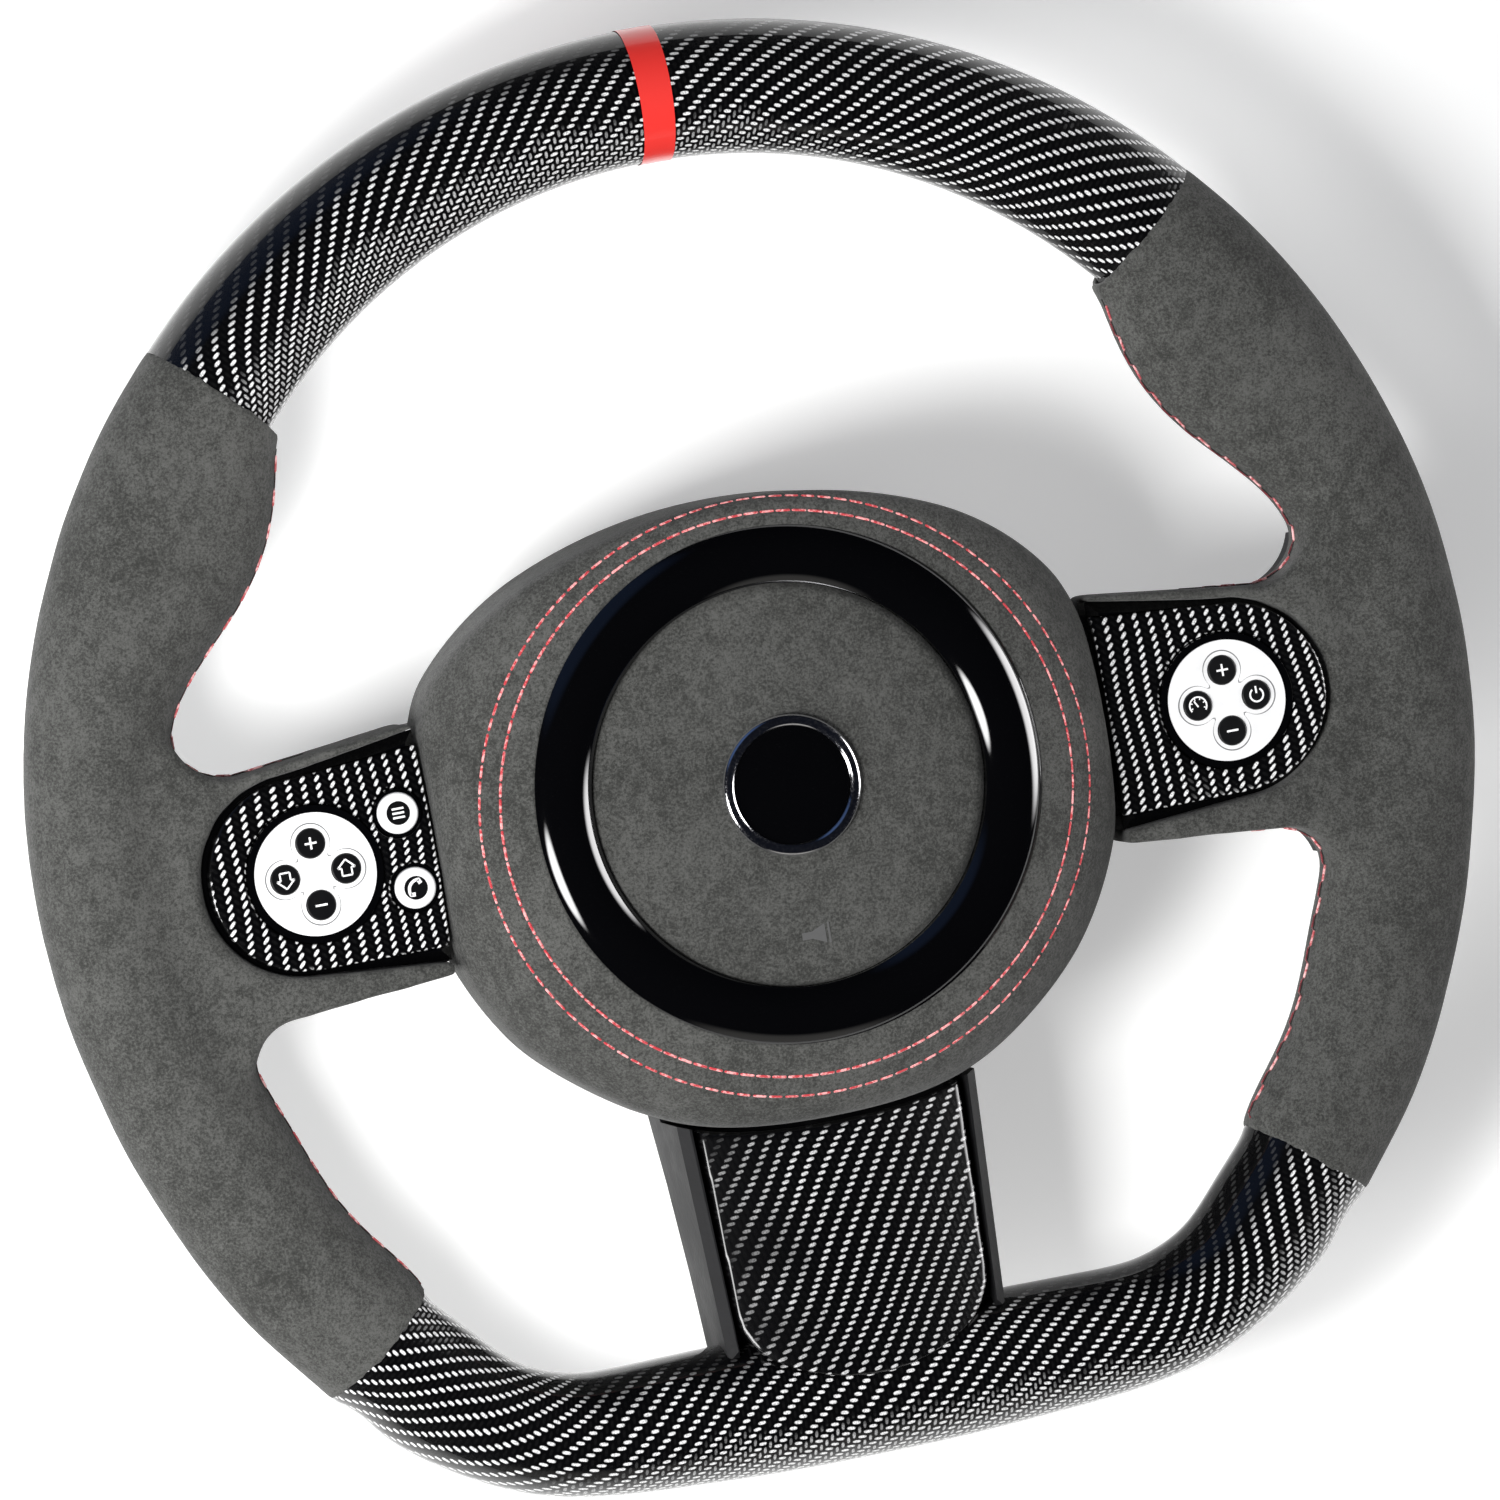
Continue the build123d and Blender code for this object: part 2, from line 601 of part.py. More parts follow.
# ---------------------------------------------------------------- switches
def make_pad_switch(side, x, y):
    """Round four-key pad: cup, face, four keys, rubber mat and circuit board."""
    cup = tube(HOUSING_R, DISC_R + 0.1, HOUSING_FLOOR_Z[0], HOUSING_TOP_Z, x, y)
    cup += cylinder(HOUSING_R, *HOUSING_FLOOR_Z, x, y)
    mat = cylinder(MAT_R, *MAT_Z, x, y)
    face = cylinder(DISC_R, *DISC_Z, x, y)
    places = {
        "up": (0, KEY_SPACING),
        "down": (0, -KEY_SPACING),
        "left": (-KEY_SPACING, 0),
        "right": (KEY_SPACING, 0),
    }
    for name, (across, along) in places.items():
        key_x = x + across
        key_y = y + along
        mat += cylinder(MAT_NUB_R, MAT_Z[1], MAT_NUB_TOP_Z, key_x, key_y)
        face -= cylinder(KEY_R + SIDE_GAP, DISC_Z[0] - 1, DISC_Z[1] + 1, key_x, key_y)
        key = cylinder(KEY_R, KEY_BOTTOM_Z, KEY_TOP_Z, key_x, key_y)
        key = fillet(key.edges().group_by(Axis.Z)[-1], 0.4)
        key += cylinder(KEY_R + KEY_FLANGE, *KEY_FLANGE_Z, key_x, key_y)
        save(key, f"{side}_key_{name}")
    save(cup, f"{side}_switch_housing")
    save(cylinder(BOARD_R, *BOARD_Z, x, y), f"{side}_switch_board")
    save(mat, f"{side}_switch_mat")
    save(face, f"{side}_switch_face")


def make_aux_switches():
    """Two single round keys beside the left pad, each in a small cup."""
    cups = []
    for name, (x, y) in zip(("upper", "lower"), AUX_CENTRES):
        cup = tube(AUX_CUP_R, AUX_R + SIDE_GAP, HOUSING_FLOOR_Z[0], AUX_CUP_TOP_Z, x, y)
        cup += cylinder(AUX_CUP_R, *HOUSING_FLOOR_Z, x, y)
        cups.append(cup)
        key = cylinder(AUX_R, AUX_BOTTOM_Z, KEY_TOP_Z, x, y)
        key = fillet(key.edges().group_by(Axis.Z)[-1], 0.8)
        save(key, f"left_key_aux_{name}")
    save(Compound(children=cups), "left_aux_housings")


# ---------------------------------------------------------------- airbag module
def dome_blank(drop, seat_r):
    """Turned blank of the airbag cover, lowered by the wall for its inside."""
    edge = [(r, z - drop) for r, z in DOME]
    edge[0] = (seat_r, edge[0][1])
    deck = DECK_Z - drop
    low = PAD_BOTTOM_Z - 20
    outer_r = edge[-1][0]
    return turned(
        Line((0, low), (0, deck)),
        Line((0, deck), (seat_r, deck)),
        Line((seat_r, deck), edge[0]),
        Spline(*edge),
        Line(edge[-1], (outer_r, low)),
        Line((outer_r, low), (0, low)),
    )


def make_pad_cover(can_outline):
    """Soft-skinned cover: dome, skirt and an inner wall that grips the can."""
    outer = upright(pad_outline(), PAD_BOTTOM_Z, 100) & dome_blank(0, DOME[0][0])
    inner = upright(pad_outline(-PAD_WALL), 30, 100) & dome_blank(PAD_WALL, DOME[0][0] + PAD_WALL)
    wall = upright(offset(can_outline, CAN_GRIP_WALL), PAD_BOTTOM_Z, CAN_GRIP_TOP_Z)
    wall -= upright(can_outline, 0, 100)
    return (outer - inner) + (wall & outer)


def make_pad_ring():
    """Glossy ring with a rounded crest."""
    outer_top = (RING_OUTER_R, RING_OUTER_Z)
    inner_top = (RING_INNER_R, RING_INNER_Z)
    return turned(
        Line((RING_INNER_R, DECK_Z), (RING_OUTER_R, DECK_Z)),
        Line((RING_OUTER_R, DECK_Z), outer_top),
        ThreePointArc(outer_top, RING_CREST, inner_top),
        Line(inner_top, (RING_INNER_R, DECK_Z)),
    )


def make_pad_cap():
    """Suede-faced centre cap with a pocket for the badge."""
    cap = turned(
        Line((0, DECK_Z), (CAP_R, DECK_Z)),
        Line((CAP_R, DECK_Z), (CAP_R, CAP_EDGE_Z)),
        crown_arc(CAP_R, CAP_EDGE_Z, CAP_RISE),
        Line((0, CAP_EDGE_Z + CAP_RISE), (0, DECK_Z)),
    )
    return cap - cylinder(BEZEL_R + 0.1, BADGE_SEAT_Z, CAP_EDGE_Z + CAP_RISE + 5)


def make_badge_bezel():
    """Chrome ring of the badge."""
    outer_top = (BEZEL_R, BEZEL_EDGE_Z)
    inner_low = (BEZEL_INNER[0], BADGE_SEAT_Z)
    return turned(
        Line(inner_low, (BEZEL_R, BADGE_SEAT_Z)),
        Line((BEZEL_R, BADGE_SEAT_Z), outer_top),
        ThreePointArc(outer_top, BEZEL_CREST, BEZEL_INNER),
        Line(BEZEL_INNER, inner_low),
    )


def make_badge_face():
    """Plain domed disc inside the bezel."""
    top = BADGE_EDGE_Z + BADGE_RISE
    return turned(
        Line((0, BADGE_SEAT_Z), (BADGE_R, BADGE_SEAT_Z)),
        Line((BADGE_R, BADGE_SEAT_Z), (BADGE_R, BADGE_EDGE_Z)),
        crown_arc(BADGE_R, BADGE_EDGE_Z, BADGE_RISE),
        Line((0, top), (0, BADGE_SEAT_Z)),
    )


def make_airbag_can(can_outline, nut_points):
    """Pressed steel can, open toward the driver."""
    can = upright(can_outline, CAN_BOTTOM_Z, CAN_TOP_Z)
    can -= upright(offset(can_outline, -CAN_WALL), CAN_BOTTOM_Z + CAN_WALL, CAN_TOP_Z + 1)
    drill = (CAN_BOTTOM_Z - 1, CAN_BOTTOM_Z + CAN_WALL + 1)
    can -= cylinder(INFLATOR_R + 0.2, *drill, 0, CAN_CENTRE_Y)
    for x, y in GUIDE_POINTS:
        can -= cylinder(GUIDE_R + 0.5, *drill, x, y)
    for x, y in nut_points:
        can -= cylinder(STUD_R + 0.1, *drill, x, y)
    return can


def make_inflator(nut_points):
    """Round gas generator with a mounting flange and four studs."""
    base_z = CAN_BOTTOM_Z + CAN_WALL
    body = cylinder(INFLATOR_R, *INFLATOR_Z, 0, CAN_CENTRE_Y)
    body = fillet(body.edges().filter_by(GeomType.CIRCLE), 3.0)
    body += cylinder(FLANGE_R, base_z, base_z + FLANGE_THICKNESS, 0, CAN_CENTRE_Y)
    for x, y in nut_points:
        body += cylinder(STUD_R, STUD_BOTTOM_Z, base_z + 0.5, x, y)
    plug = block((-6, 6), (CAN_CENTRE_Y - 4, CAN_CENTRE_Y + 4), (INFLATOR_Z[0] - 1.4, INFLATOR_Z[0] + 0.5))
    return body + plug


def make_nuts(nut_points):
    """Hexagon nuts that pull the generator's flange into the can."""
    corner_r = 4.6
    nuts = []
    for x, y in nut_points:
        hexagon = Pos(x, y, 0) * RegularPolygon(corner_r, 6)
        nut = upright(hexagon, STUD_BOTTOM_Z + 1, CAN_BOTTOM_Z)
        nuts.append(nut - cylinder(STUD_R, STUD_BOTTOM_Z, CAN_BOTTOM_Z + 1, x, y))
    return Compound(children=nuts)


def make_cushion():
    """Folded bag packed between the generator and the cover."""
    pack = Pos(0, CAN_CENTRE_Y, CUSHION_MIDDLE_Z) * Box(*CUSHION_SIZE)
    pack = fillet(pack.edges().filter_by(Axis.Z), 20)
    return fillet(pack.edges().group_by(Axis.Z)[-1], 6)


def make_guide_pins():
    """Shoulder screws on which the whole module slides."""
    head_z = CAN_BOTTOM_Z + CAN_WALL + 0.2
    pins = []
    for x, y in GUIDE_POINTS:
        shank = cylinder(GUIDE_R, *GUIDE_Z, x, y)
        pins.append(shank + cylinder(GUIDE_HEAD_R, head_z, GUIDE_HEAD_TOP_Z, x, y))
    return Compound(children=pins)


def make_horn_springs():
    """One coil round each guide pin, between armature boss and can."""
    low = BOSS_TOP_Z + SPRING_WIRE_R + 0.05
    height = CAN_BOTTOM_Z - SPRING_WIRE_R - 0.05 - low
    coil = Pos(0, 0, low) * Helix(pitch=height / SPRING_TURNS, height=height, radius=SPRING_R)
    section = Plane(origin=coil @ 0, z_dir=coil % 0) * Circle(SPRING_WIRE_R)
    spring = sweep(section, path=coil, is_frenet=True)
    return Compound(children=[Pos(x, y, 0) * spring for x, y in GUIDE_POINTS])


def make_horn_contacts():
    """Studs that the can touches at the end of its travel."""
    gap = HORN_TRAVEL + 0.15
    studs = []
    for x, y in CONTACT_POINTS:
        stud = cylinder(CONTACT_R, CONTACT_ROOT_Z, BOSS_TOP_Z, x, y)
        stud += cylinder(CONTACT_HEAD_R, BOSS_TOP_Z, CAN_BOTTOM_Z - gap, x, y)
        studs.append(stud)
    return Compound(children=studs)


# ---------------------------------------------------------------- build
armature = make_armature()
save(armature, "armature")
save(make_hub_insert(), "hub_insert")

top_outer = rim_loft(TOP_STATIONS, CARBON_HALF_DEPTH)
top_inner = rim_loft(TOP_STATIONS, CARBON_HALF_DEPTH, CARBON_SKIN)
save(top_inner - armature, "top_core")
marker_zone = block((-MARKER_WIDTH / 2, MARKER_WIDTH / 2), (100, 220), (0, 100))
marker_outer = rim_loft(TOP_STATIONS[2:5], CARBON_HALF_DEPTH, -MARKER_PROUD)
save((marker_outer & marker_zone) - top_outer, "centre_marker")
top_front, top_rear = split_front_rear(top_outer - top_inner)
save(top_front, "top_carbon_front")
save(top_rear, "top_carbon_rear")

lower_outer = rim_loft(LOWER_STATIONS, CARBON_HALF_DEPTH)
lower_inner = rim_loft(LOWER_STATIONS, CARBON_HALF_DEPTH, CARBON_SKIN)
lower_shell_skin = lower_outer - lower_inner - armature
lower_front, lower_rear = split_front_rear(lower_shell_skin)
save(lower_inner - armature, "bottom_core")
save(lower_front, "bottom_carbon_front")
save(lower_rear, "bottom_carbon_rear")

grip_outer = rim_loft(GRIP_STATIONS, GRIP_HALF_DEPTH)
grip_inner = rim_loft(GRIP_STATIONS, GRIP_HALF_DEPTH, GRIP_SKIN)
grip_cover = grip_outer - grip_inner - armature
grip_core = grip_inner - armature
save(grip_cover, "right_grip_cover")
save(mirrored(grip_cover), "left_grip_cover")
save(grip_core, "right_grip_core")
save(mirrored(grip_core), "left_grip_core")

save(make_rear_cover(armature), "rear_cover")
save(make_cover_screws(), "rear_cover_screws")

spoke_wrap = make_spoke_wrap(grip_outer, armature)
save(spoke_wrap, "right_spoke_wrap")
save(mirrored(spoke_wrap), "left_spoke_wrap")
spoke_rear = make_spoke_rear_cover(armature, spoke_wrap) - grip_outer
save(spoke_rear, "right_spoke_rear_cover")
save(mirrored(spoke_rear), "left_spoke_rear_cover")
trim_frame = make_trim_frame()
save(trim_frame, "right_spoke_frame")
save(mirrored(trim_frame), "left_spoke_frame")
pad_hole = (PAD_SWITCH_X, PAD_SWITCH_Y, HOUSING_R + TRIM_GAP)
aux_holes = [(-x, y, AUX_CUP_R + TRIM_GAP) for x, y in AUX_CENTRES]
save(make_trim([pad_hole]), "right_spoke_trim")
save(mirrored(make_trim([pad_hole] + aux_holes)), "left_spoke_trim")

lower_channel = make_lower_shell(armature, lower_outer)
lower_cover = make_lower_cover(lower_outer, armature) - lower_channel
save(lower_channel, "bottom_spoke_shell")
save(lower_cover, "bottom_spoke_cover")

make_pad_switch("right", PAD_SWITCH_X, PAD_SWITCH_Y)
make_pad_switch("left", -PAD_SWITCH_X, PAD_SWITCH_Y)
make_aux_switches()

can_outline = (Pos(0, CAN_CENTRE_Y) * RectangleRounded(*CAN_SIZE, CAN_CORNER_R)).face()
nut_points = [polar((0, CAN_CENTRE_Y), NUT_CIRCLE_R, turn) for turn in NUT_ANGLES]
save(make_pad_cover(can_outline), "pad_cover")
save(make_pad_ring(), "pad_ring")
save(make_pad_cap(), "pad_cap")
save(make_badge_bezel(), "badge_bezel")
save(make_badge_face(), "badge_face")
save(make_airbag_can(can_outline, nut_points), "airbag_housing")
save(make_inflator(nut_points), "inflator")
save(make_nuts(nut_points), "inflator_nuts")
save(make_cushion(), "airbag_cushion")
save(make_guide_pins(), "guide_pins")
save(make_horn_springs(), "horn_springs")
save(make_horn_contacts(), "horn_contacts")
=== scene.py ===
import json
from math import atan2, ceil, cos, hypot, pi, radians, sin, sqrt

import bmesh
import bpy
import numpy as np
from mathutils import Matrix, Vector, noise
from mathutils.bvhtree import BVHTree


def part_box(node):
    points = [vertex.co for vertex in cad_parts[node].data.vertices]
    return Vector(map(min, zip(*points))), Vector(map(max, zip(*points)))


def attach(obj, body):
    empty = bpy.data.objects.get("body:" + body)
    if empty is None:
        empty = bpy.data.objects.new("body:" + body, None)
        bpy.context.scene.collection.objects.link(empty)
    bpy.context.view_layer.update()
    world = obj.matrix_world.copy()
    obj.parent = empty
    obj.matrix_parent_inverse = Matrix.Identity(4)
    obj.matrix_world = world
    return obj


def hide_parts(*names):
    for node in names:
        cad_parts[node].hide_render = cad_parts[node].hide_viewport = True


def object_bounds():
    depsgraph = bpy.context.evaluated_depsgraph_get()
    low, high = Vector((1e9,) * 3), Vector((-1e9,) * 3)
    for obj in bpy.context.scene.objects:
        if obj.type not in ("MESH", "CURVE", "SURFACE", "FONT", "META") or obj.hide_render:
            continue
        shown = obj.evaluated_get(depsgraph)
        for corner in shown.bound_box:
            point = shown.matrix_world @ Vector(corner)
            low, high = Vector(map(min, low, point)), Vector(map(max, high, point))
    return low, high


# Looks of a flat-bottomed sports steering wheel: suede grips, woven carbon
# shells under clear lacquer, a suede airbag cover and two round switch pads.
# Metres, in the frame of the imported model.

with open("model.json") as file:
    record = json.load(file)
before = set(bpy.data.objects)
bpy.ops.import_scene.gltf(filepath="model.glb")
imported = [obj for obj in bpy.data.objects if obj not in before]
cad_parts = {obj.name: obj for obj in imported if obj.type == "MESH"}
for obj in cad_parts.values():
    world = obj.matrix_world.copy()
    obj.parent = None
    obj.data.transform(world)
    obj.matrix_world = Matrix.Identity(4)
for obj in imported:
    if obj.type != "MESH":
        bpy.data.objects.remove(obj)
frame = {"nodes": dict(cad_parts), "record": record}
cad_low, cad_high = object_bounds()
nodes = frame["nodes"]

MM = 0.001
WHEEL = "wheel"
MODULE = "airbag_module"
RNG = np.random.default_rng(11)

# ------------------------------------------------------------------ rim path
# Named as in the solid model.  Lengths along the path run clockwise from the
# top, as the driver sees it.
RIM_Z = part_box("top_carbon_front")[0].z
TOP_CENTRE_Y = 5.0 * MM
TOP_R = 168.25 * MM
SIDE_R = 230.0 * MM
CORNER_R = 52.0 * MM
SIDE_START = radians(-20.0)
CORNER_START = radians(-45.8)
TOP_END_ANGLE = radians(44.0)
GRIP_END_ANGLE = radians(-39.3)
TOP_LENGTH = TOP_R * (pi / 2 - SIDE_START)
SIDE_LENGTH = SIDE_R * (SIDE_START - CORNER_START)
CORNER_LENGTH = CORNER_R * (CORNER_START + pi / 2)
GRIP_START = TOP_R * (pi / 2 - TOP_END_ANGLE)
GRIP_END = TOP_LENGTH + SIDE_R * (SIDE_START - GRIP_END_ANGLE)
SIDE_CENTRE = (
    (TOP_R - SIDE_R) * cos(SIDE_START),
    TOP_CENTRE_Y + (TOP_R - SIDE_R) * sin(SIDE_START),
)
CORNER_CENTRE = (
    SIDE_CENTRE[0] + (SIDE_R - CORNER_R) * cos(CORNER_START),
    SIDE_CENTRE[1] + (SIDE_R - CORNER_R) * sin(CORNER_START),
)
HALF_LENGTH = TOP_LENGTH + SIDE_LENGTH + CORNER_LENGTH + CORNER_CENTRE[0]


def right_half_point(length):
    """Point and outward angle on the right half of the path."""
    if length < TOP_LENGTH:
        angle = pi / 2 - length / TOP_R
        return TOP_R * cos(angle), TOP_CENTRE_Y + TOP_R * sin(angle), angle
    length -= TOP_LENGTH
    if length < SIDE_LENGTH:
        angle = SIDE_START - length / SIDE_R
        return (SIDE_CENTRE[0] + SIDE_R * cos(angle),
                SIDE_CENTRE[1] + SIDE_R * sin(angle), angle)
    length -= SIDE_LENGTH
    if length < CORNER_LENGTH:
        angle = CORNER_START - length / CORNER_R
        return (CORNER_CENTRE[0] + CORNER_R * cos(angle),
                CORNER_CENTRE[1] + CORNER_R * sin(angle), angle)
    length -= CORNER_LENGTH
    return CORNER_CENTRE[0] - length, CORNER_CENTRE[1] - CORNER_R, -pi / 2


def path_at(length):
    """Centre point and outward direction of the rim at a length from the top."""
    while length > HALF_LENGTH:
        length -= 2 * HALF_LENGTH
    side = 1 if length >= 0 else -1
    x, y, angle = right_half_point(abs(length))
    return Vector((side * x, y, RIM_Z)), Vector((side * cos(angle), sin(angle), 0))


# ------------------------------------------------------------------ mesh tools
def set_weave(mesh, uv):
    """One weave coordinate, in millimetres, for each vertex."""
    layer = mesh.uv_layers.new(name="weave")
    corner_vertex = np.zeros(len(mesh.loops), np.int32)
    mesh.loops.foreach_get("vertex_index", corner_vertex)
    layer.data.foreach_set("uv", np.asarray(uv, np.float32)[corner_vertex].ravel())


def new_object(name, vertices, faces, uv=None):
    mesh = bpy.data.meshes.new(name)
    mesh.from_pydata([tuple(v) for v in vertices], [], faces)
    mesh.update()
    if uv is not None:
        set_weave(mesh, uv)
    mesh.shade_smooth()
    piece = bpy.data.objects.new(name, mesh)
    bpy.context.scene.collection.objects.link(piece)
    return piece


def dress(piece, material, body=WHEEL, replaced=()):
    """Give a piece its material and body, and hide the solids it stands for."""
    piece.data.materials.clear()
    piece.data.materials.append(material)
    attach(piece, body)
    if replaced:
        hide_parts(*replaced)
    return piece


def cad_mesh(names):
    """Vertices and faces of several CAD nodes together."""
    vertices = []
    faces = []
    for name in names:
        mesh = nodes[name].data
        start = len(vertices)
        vertices.extend(v.co.copy() for v in mesh.vertices)
        faces.extend([start + i for i in p.vertices] for p in mesh.polygons)
    return vertices, faces


def cad_tree(names):
    return BVHTree.FromPolygons(*cad_mesh(names))


def mesh_tree(piece):
    mesh = piece.data
    return BVHTree.FromPolygons([v.co.copy() for v in mesh.vertices],
                                [list(p.vertices) for p in mesh.polygons])


def remeshed(name, names, voxel):
    """One even mesh round several CAD nodes."""
    source = new_object(name, *cad_mesh(names))
    source.modifiers.new("even", "REMESH").mode = "VOXEL"
    source.modifiers["even"].voxel_size = voxel
    depsgraph = bpy.context.evaluated_depsgraph_get()
    mesh = bpy.data.meshes.new_from_object(source.evaluated_get(depsgraph))
    old = source.data
    source.modifiers.clear()
    source.data = mesh
    bpy.data.meshes.remove(old)
    mesh.shade_smooth()
    return source


def coordinates(piece):
    co = np.zeros(len(piece.data.vertices) * 3)
    piece.data.vertices.foreach_get("co", co)
    return co.reshape(-1, 3)


def set_coordinates(piece, co):
    piece.data.vertices.foreach_set("co", co.ravel())
    piece.data.update()


def relaxed(piece, rounds, weight):
    """Laplacian smoothing, with a weight from 0 to 1 for each vertex."""
    co = coordinates(piece)
    mesh = piece.data
    edges = np.zeros(len(mesh.edges) * 2, np.int32)
    mesh.edges.foreach_get("vertices", edges)
    a, b = edges[0::2], edges[1::2]
    count = len(co)
    degree = np.bincount(a, minlength=count) + np.bincount(b, minlength=count)
    pull = 0.5 * np.asarray(weight)
    for _ in range(rounds):
        mean = np.empty_like(co)
        for axis in range(3):
            mean[:, axis] = (np.bincount(a, co[b, axis], count)
                             + np.bincount(b, co[a, axis], count)) / degree
        co += (mean - co) * pull[:, None]
    set_coordinates(piece, co)


def smooth_step(values, low, high):
    t = np.clip((values - low) / (high - low), 0, 1)
    return t * t * (3 - 2 * t)


def rows_to_faces(rows, columns, wrap):
    """Quads between neighbouring rows of a grid, closed round each row if wrapped."""
    faces = []
    last = columns if wrap else columns - 1
    for r in range(rows - 1):
        for c in range(last):
            n = (c + 1) % columns
            faces.append((r * columns + c, r * columns + n,
                          (r + 1) * columns + n, (r + 1) * columns + c))
    return faces


TUBE_REACH = 46 * MM        # rays start this far from the middle of the rim
TUBE_CORE = 11 * MM         # hits nearer than this are inside the shell
TUBE_STEP = 1.6 * MM
END_MARGIN = 1.7 * MM       # the last profiles are copied past the shell's ends


def rim_tube(name, names, start, end, grow=0.0):
    """Smooth tube over CAD shells, with the lengths along and round it as UV."""
    tree = cad_tree(names)
    around = 96
    crest = around // 4
    steps = max(2, ceil((end - start) / TUBE_STEP))
    up = Vector((0, 0, 1))
    vertices = []
    uv = []
    for k in range(steps + 1):
        length = start + (end - start) * k / steps
        inside = min(max(length, start + END_MARGIN), end - END_MARGIN)
        centre, out = path_at(inside)
        place = path_at(length)[0]
        radius = np.full(around, np.nan)
        directions = []
        for c in range(around):
            turn = 2 * pi * c / around
            direction = out * cos(turn) + up * sin(turn)
            directions.append(direction)
            hit = tree.ray_cast(centre + direction * TUBE_REACH, -direction, TUBE_REACH)
            if hit[0] is not None and TUBE_REACH - hit[3] > TUBE_CORE:
                radius[c] = TUBE_REACH - hit[3]
        known = np.flatnonzero(~np.isnan(radius))
        radius = np.interp(np.arange(around), known, radius[known], period=around)
        ring = [place + d * (r + grow) for d, r in zip(directions, radius)]
        vertices.extend(ring)
        walk = np.cumsum([(ring[c] - ring[c - 1]).length for c in range(around)])
        uv.extend((length / MM, (walk[crest] - walk[c]) / MM) for c in range(around))
    faces = []
    for r in range(steps):
        for c in range(around):
            n = (c + 1) % around
            faces.append((r * around + c, (r + 1) * around + c,
                          (r + 1) * around + n, r * around + n))
    return new_object(name, vertices, faces, uv)


def turned_piece(name, profile, segments=256):
    """Solid turned about the steering axis from (radius, height) points."""
    vertices = []
    for radius, height in profile:
        for k in range(segments):
            turn = 2 * pi * k / segments
            vertices.append((radius * cos(turn), radius * sin(turn), height))
    faces = rows_to_faces(len(profile), segments, True)
    return new_object(name, vertices, faces)


# ------------------------------------------------------------------ shader tools
class Shader:
    """A material written as formulas."""

    def __init__(self, name):
        self.material = bpy.data.materials.new(name)
        self.material.use_nodes = True
        self.tree = self.material.node_tree
        self.surface = self.tree.nodes["Principled BSDF"]

    def feed(self, socket, value):
        if isinstance(value, bpy.types.NodeSocket):
            self.tree.links.new(value, socket)
        elif hasattr(socket.default_value, "__len__") and not hasattr(value, "__len__"):
            socket.default_value = [value] * len(socket.default_value)
        elif hasattr(value, "__len__") and len(value) == 3 and len(socket.default_value) == 4:
            socket.default_value = (*value, 1.0)
        else:
            socket.default_value = value

    def add(self, kind, settings=None, **inputs):
        node = self.tree.nodes.new(kind)
        for key, value in (settings or {}).items():
            setattr(node, key, value)
        for key, value in inputs.items():
            self.feed(node.inputs[key.replace("_", " ")], value)
        return node

    def math(self, operation, *values):
        node = self.add("ShaderNodeMath", {"operation": operation})
        for socket, value in zip(node.inputs, values):
            self.feed(socket, value)
        return node.outputs[0]

    def ramp(self, value, low, high, to_low=0.0, to_high=1.0):
        node = self.add("ShaderNodeMapRange", {"interpolation_type": "SMOOTHSTEP"})
        for socket, item in zip(node.inputs, (value, low, high, to_low, to_high)):
            self.feed(socket, item)
        return node.outputs[0]

    def noise(self, scale, detail=2.0, roughness=0.5, vector=None, distortion=0.0):
        node = self.add("ShaderNodeTexNoise", Scale=scale, Detail=detail,
                        Roughness=roughness, Distortion=distortion)
        self.tree.links.new(vector or self.place(), node.inputs["Vector"])
        return node.outputs["Fac"]

    def place(self, stretch=None):
        """Position on the piece, in metres, stretched if asked."""
        point = self.add("ShaderNodeTexCoord").outputs["Object"]
        if stretch is None:
            return point
        return self.add("ShaderNodeMapping", Vector=point, Scale=stretch).outputs[0]

    def mix(self, factor, low, high):
        node = self.add("ShaderNodeMix", {"data_type": "RGBA"})
        self.feed(node.inputs[0], factor)
        self.feed(node.inputs[6], low)
        self.feed(node.inputs[7], high)
        return node.outputs[2]

    def bump(self, height, distance, strength=1.0):
        """Relief of this height, in metres of depth."""
        node = self.add("ShaderNodeBump", Height=height, Distance=distance, Strength=strength)
        self.feed(self.surface.inputs["Normal"], node.outputs[0])

    def set(self, **values):
        for key, value in values.items():
            self.feed(self.surface.inputs[key.replace("_", " ")], value)
        return self.material


# ------------------------------------------------------------------ materials
def suede(name, shade=1.0):
    """Napped microfibre: faint brushing marks over a fine speckled grain."""
    s = Shader(name)
    clouds = s.noise(34, 2, 0.5, distortion=0.3)
    brushed = s.noise(320, 2, 0.5, s.place((1.0, 0.7, 1.0)), distortion=0.3)
    grain = s.noise(1400, 3, 0.8)
    tone = s.math("ADD", s.math("MULTIPLY", clouds, 0.16), s.math("MULTIPLY", brushed, 0.20))
    tone = s.math("ADD", tone, s.math("MULTIPLY", grain, 0.64))
    dark = [0.030 * shade, 0.0305 * shade, 0.0285 * shade]
    light = [0.088 * shade, 0.0885 * shade, 0.084 * shade]
    s.bump(s.math("ADD", s.math("MULTIPLY", grain, 0.8), s.math("MULTIPLY", brushed, 0.2)),
           0.22 * MM, 0.9)
    return s.set(Base_Color=s.mix(s.ramp(tone, 0.38, 0.63), dark, light), Roughness=0.95,
                 Sheen_Weight=0.10, Sheen_Roughness=0.5, Specular_IOR_Level=0.1)


